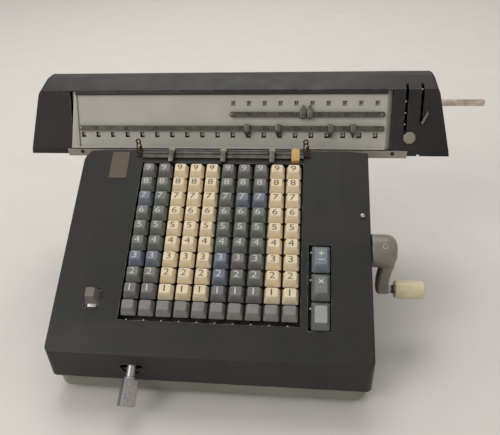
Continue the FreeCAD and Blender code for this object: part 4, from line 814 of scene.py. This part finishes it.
# Number dials
# Twenty black result dials and ten white counter dials, each row on its shaft: moulded wheels with a
# raised rim, ten figures round the edge. The counter shaft runs out at the right as a bright rod.
PANEL = plane_at(0, 73, 168, 69)
DIAL_RADIUS = 9
SHAFT_Z = -11.6
COUNTER_SHAFT_Y = 31
COUNTER_OFFSET = 0.9
black_dial = urea_plastic("black_dial_plastic", "#181818", "#242322", "#3a3937", (0.35, 0.5))
white_dial = urea_plastic("white_dial_plastic", "#d8d6cd", "#cbc8bd", "#e6e4dc", (0.35, 0.5))
for body, slot, count, first, offset, height, tone, ink, right in (
        ("result_dials", "black_wheel", 20, 0, 0, -0.7, black_dial, pale_ink, 171),
        ("counter_dials", "white_wheel", 10, 10, COUNTER_OFFSET, COUNTER_SHAFT_Y, white_dial,
         mark_paint, 257)):
    wheel = drum("wheel", DIAL_RADIUS - 0.06, (-4, 0, 0), (4, 0, 0), 40)
    open_with(wheel, "faces", lambda middle, way: abs(way.x) > 0.9)
    bpy.ops.mesh.inset(thickness=1.2 * MM)
    bpy.ops.mesh.extrude_region_shrink_fatten(TRANSFORM_OT_shrink_fatten={"value": -0.8 * MM})
    close()
    smooth(wheel, 35)
    coat(wheel, tone)
    figures = []
    for digit in range(10):
        mark = figure(str(digit), 4.3, (0, 0, DIAL_RADIUS), ink, 1.05, 0.2, 2)
        turned(mark, 36 * digit - 6, "X")
        figures.append(mark)
    wheel = joined("wheel", [wheel, *figures])
    parts = []
    for dial in range(count):
        parts.append(copy_of(wheel, (KEY_PITCH * (first + dial - 9.5) + offset, 0, 0)))
    bpy.data.objects.remove(wheel)
    shaft = drum("shaft", 3.3, (-165, 0, 0), (right, 0, 0))
    ease(shaft, 0.5)
    if body == "counter_dials":
        for groove, width in ((224.5, 1.2), (228.5, 0.8)):
            ring = drum("groove", 5, (groove, 0, 0), (groove + width, 0, 0))
            core = drum("core", 2.6, (groove - 1, 0, 0), (groove + width + 1, 0, 0))
            cut(shaft, cut(ring, core))
        smooth(shaft, 40)
    bright = machined_metal(f"bright_{body}_shaft", "#cfc4b8", "#a89e93", (0.14, 0.26), (0.1, 1, 1))
    parts.append(coat(shaft, bright))
    dials = joined(f"{body}_wheels", parts)
    moved(dials, 0, height, SHAFT_Z)
    fit(placed(dials, PANEL), body, slot, body)

# Register panel with its bars and clips
# An enamelled steel plate in pale silver grey, ends bent back. Two tarnished bars carry a figure for
# nearly every dial; six cast clips slide on them and point at the windows.
LOWER_BAR_Y = 6.1
UPPER_BAR_Y = 20
panel_enamel = stoved_paint("silver_grey_enamel", "#b5b1a5", "#bebaae", "#d2cec2", (0.34, 0.5))
dress("register_panel", panel_enamel)
dress("lower_marker_bar", bar_steel)
dress("upper_marker_bar", bar_steel)
for bar, height, offset, last, ends in (("lower", LOWER_BAR_Y, 0, 18, (-153, 157)),
                                        ("upper", UPPER_BAR_Y, COUNTER_OFFSET, 8, (8, 157))):
    texts = []
    for number in range(2, last + 1):
        x = KEY_PITCH * (9.5 - number) + offset
        texts.append(figure(str(number), 2.4, (x, height + 0.3, 3.53), mark_paint, 1.15, 0.12, 2))
    fit(placed(joined(f"{bar}_bar_figures", texts), PANEL), "carriage", "bar_metal")
    for side, x in zip(("left", "right"), ends):
        screw = slotted_screw(f"{bar}_bar_screw_{side}", 1.7, 0.7, bar_screw_steel, PANEL,
                              (x, height, 3.4), 30)
        fit(screw, "carriage", "plain_steel")

for body, x, height in (("lower_clip_1", 23, LOWER_BAR_Y), ("lower_clip_2", 54.7, LOWER_BAR_Y),
                        ("lower_clip_3", 107.3, LOWER_BAR_Y), ("lower_clip_4", 129.8, LOWER_BAR_Y),
                        ("upper_clip_1", 79.3, UPPER_BAR_Y), ("upper_clip_2", 86.2, UPPER_BAR_Y)):
    clip = block(f"{body}_cast", (-3.6, -4.6, 0.1), (3.6, 2.6, 6.9))
    open_with(clip, "faces", lambda middle, way: way.y > 0.9)
    bpy.ops.transform.resize(value=(0.94, 1, 1))
    pull(0, 7.2, -1.1)
    bpy.ops.transform.resize(value=(0.12, 1, 0.36))
    close()
    open_with(clip, "faces", lambda middle, way: way.y < -0.9)
    bpy.ops.transform.resize(value=(0.86, 1, 0.9))
    close()
    open_with(clip, "edges", lambda middle, way: True)
    bpy.ops.mesh.select_all(action="SELECT")
    bpy.ops.mesh.bevel(offset=0.7 * MM, segments=1, affect="EDGES")
    close()
    modify(clip, "SUBSURF", levels=2, render_levels=2)
    cut(clip, bar_channel(-3, 3, 1.4, 3.8))
    smooth(clip, 45)
    if height == LOWER_BAR_Y:
        turned(clip, 180, "Z")
    moved(clip, x, height, 0)
    fit(placed(coat(clip, clip_metal), PANEL), body, "clip_metal", body)

# A pale rolled edge along the foot of the panel, a cheek that follows the hood's lean at its left
# end, and above it a dark strip that is painted shade, standing for the hood's shadow on the panel.
roll = ease(block("panel_rolled_edge", (-165.6, -14.9, 0.9), (162, -13.1, 2.9)), 0.8, 4)
cheek = block("panel_cheek", (-162.2, -14.6, 0.7), (-156.6, 43.2, 1.75))
open_with(cheek, "edges", lambda middle, way: abs(way.z) > 0.9 and middle.x < -160 and middle.y < 0)
shift(-3.6, 0, 0)
close()
open_with(cheek, "edges", lambda middle, way: abs(way.z) > 0.9 and middle.x < -160 and middle.y > 0)
shift(3.4, 0, 0)
close()
cheek = coat(joined("panel_left_edge", [ease(cheek, 0.4), roll]), panel_enamel)
fit(placed(cheek, PANEL), "carriage", "panel_enamel")
# Painted shade: a dark strip laid where the hood shades the top of the panel.
strip = ease(block("painted_shade_strip", (-157.9, 39.7, 1.5), (162.2, 43.3, 2.3)), 0.3)
strip = coat(strip, stoved_paint("painted_hood_shade", "#2b2a28", "#353330", "#5a5751", (0.45, 0.6), 0.4, 0.3))
fit(placed(strip, PANEL), "carriage", "charcoal_paint")

# Carriage hood
# The arched cover of the carriage, pressed from sheet steel with leaning ends, in the same charcoal
# enamel as the housing. The two clearing levers come out through its slots.
hood_paint = stoved_paint("charcoal_hood_paint", "#2b2a29", "#32312f", "#7d7a73", (0.4, 0.52), 0.8, 0.22)
dress("carriage_hood", hood_paint)

# Clearing levers
# Steel arms on the counter shaft, each with a finger tab: a pale eight-sided one for the result dials
# and a slim hooked one, higher up, for the counter dials.
lever_iron = machined_metal("blackened_lever_steel", "#3b3836", "#262423", (0.35, 0.5))
for name, x, reach, out in (("result_clearing_lever", 180.5, 28, 14.5),
                            ("counter_clearing_lever", 195.2, 19, 15.6)):
    boss = ease(drum("boss", 6.9, (-2.4, 0, 0), (2.4, 0, 0), 40), 0.4)
    cut(boss, drum("bore", 3.42, (-5, 0, 0), (5, 0, 0), 40))
    leg = block("leg", (-0.95, -reach - 1.5, -1.5), (0.95, -reach + 1.5, out))
    open_with(leg, "faces", lambda middle, way: way.y > 0.9)
    bpy.ops.mesh.bisect(plane_co=(0, 0, 1.5 * MM), plane_no=(0, 0, 1))
    close()
    open_with(leg, "faces", lambda middle, way: way.y > 0.9 and middle.z < 2)
    pull(0, reach - 7, 0)
    bpy.ops.transform.resize(value=(1, 1, 2.1))
    close()
    parts = [coat(boss, lever_iron), coat(ease(leg, 0.25, 2), lever_iron)]
    if name.startswith("result"):
        tab = drum("tab", 6.3, (0, 0, 13.9), (0, 0, 15.6), 8)
        open_with(tab, "faces", lambda middle, way: way.z > 0.9)
        bpy.ops.mesh.inset(thickness=2.2 * MM)
        shift(0, 0, 0.7)
        close()
        moved(turned(tab, 22.5, "Z"), 4.5, -33.6, 0)
        ease(tab, 0.7, 3, 15)
        coat(tab, stoved_paint("worn_tab_enamel", "#847c6c", "#918979", "#b8b1a1", (0.3, 0.45)))
    else:
        tab = block("hook", (-1.2, -5.6, 14.6), (1.2, 5.6, 16.4))
        open_with(tab, "faces", lambda middle, way: way.y > 0.9)
        pull(-1.5, 1.6, 0)
        bpy.ops.transform.resize(value=(0.6, 1, 0.9))
        close()
        moved(turned(tab, -26, "Z"), 2.9, -15, 0)
        coat(ease(tab, 0.5, 3, 20), bar_screw_steel)
    lever = joined(f"{name}_plate", parts + [tab])
    moved(lever, x, COUNTER_SHAFT_Y, SHAFT_Z)
    fit(placed(lever, PANEL), name, "clip_metal", name)

# Bright stop pins in the slots, riveted to their left walls.
for number, (x, y) in enumerate(((179.6, 32.6), (179.6, 21.6), (179.6, 10.6), (194.3, 44.2)), 1):
    pin = coat(ease(drum(f"slot_pin_{number}", 0.8, (x, y, -0.9), (x, y, 2.4), 12), 0.25), screw_steel)
    fit(placed(pin, PANEL), "carriage", "plain_steel")
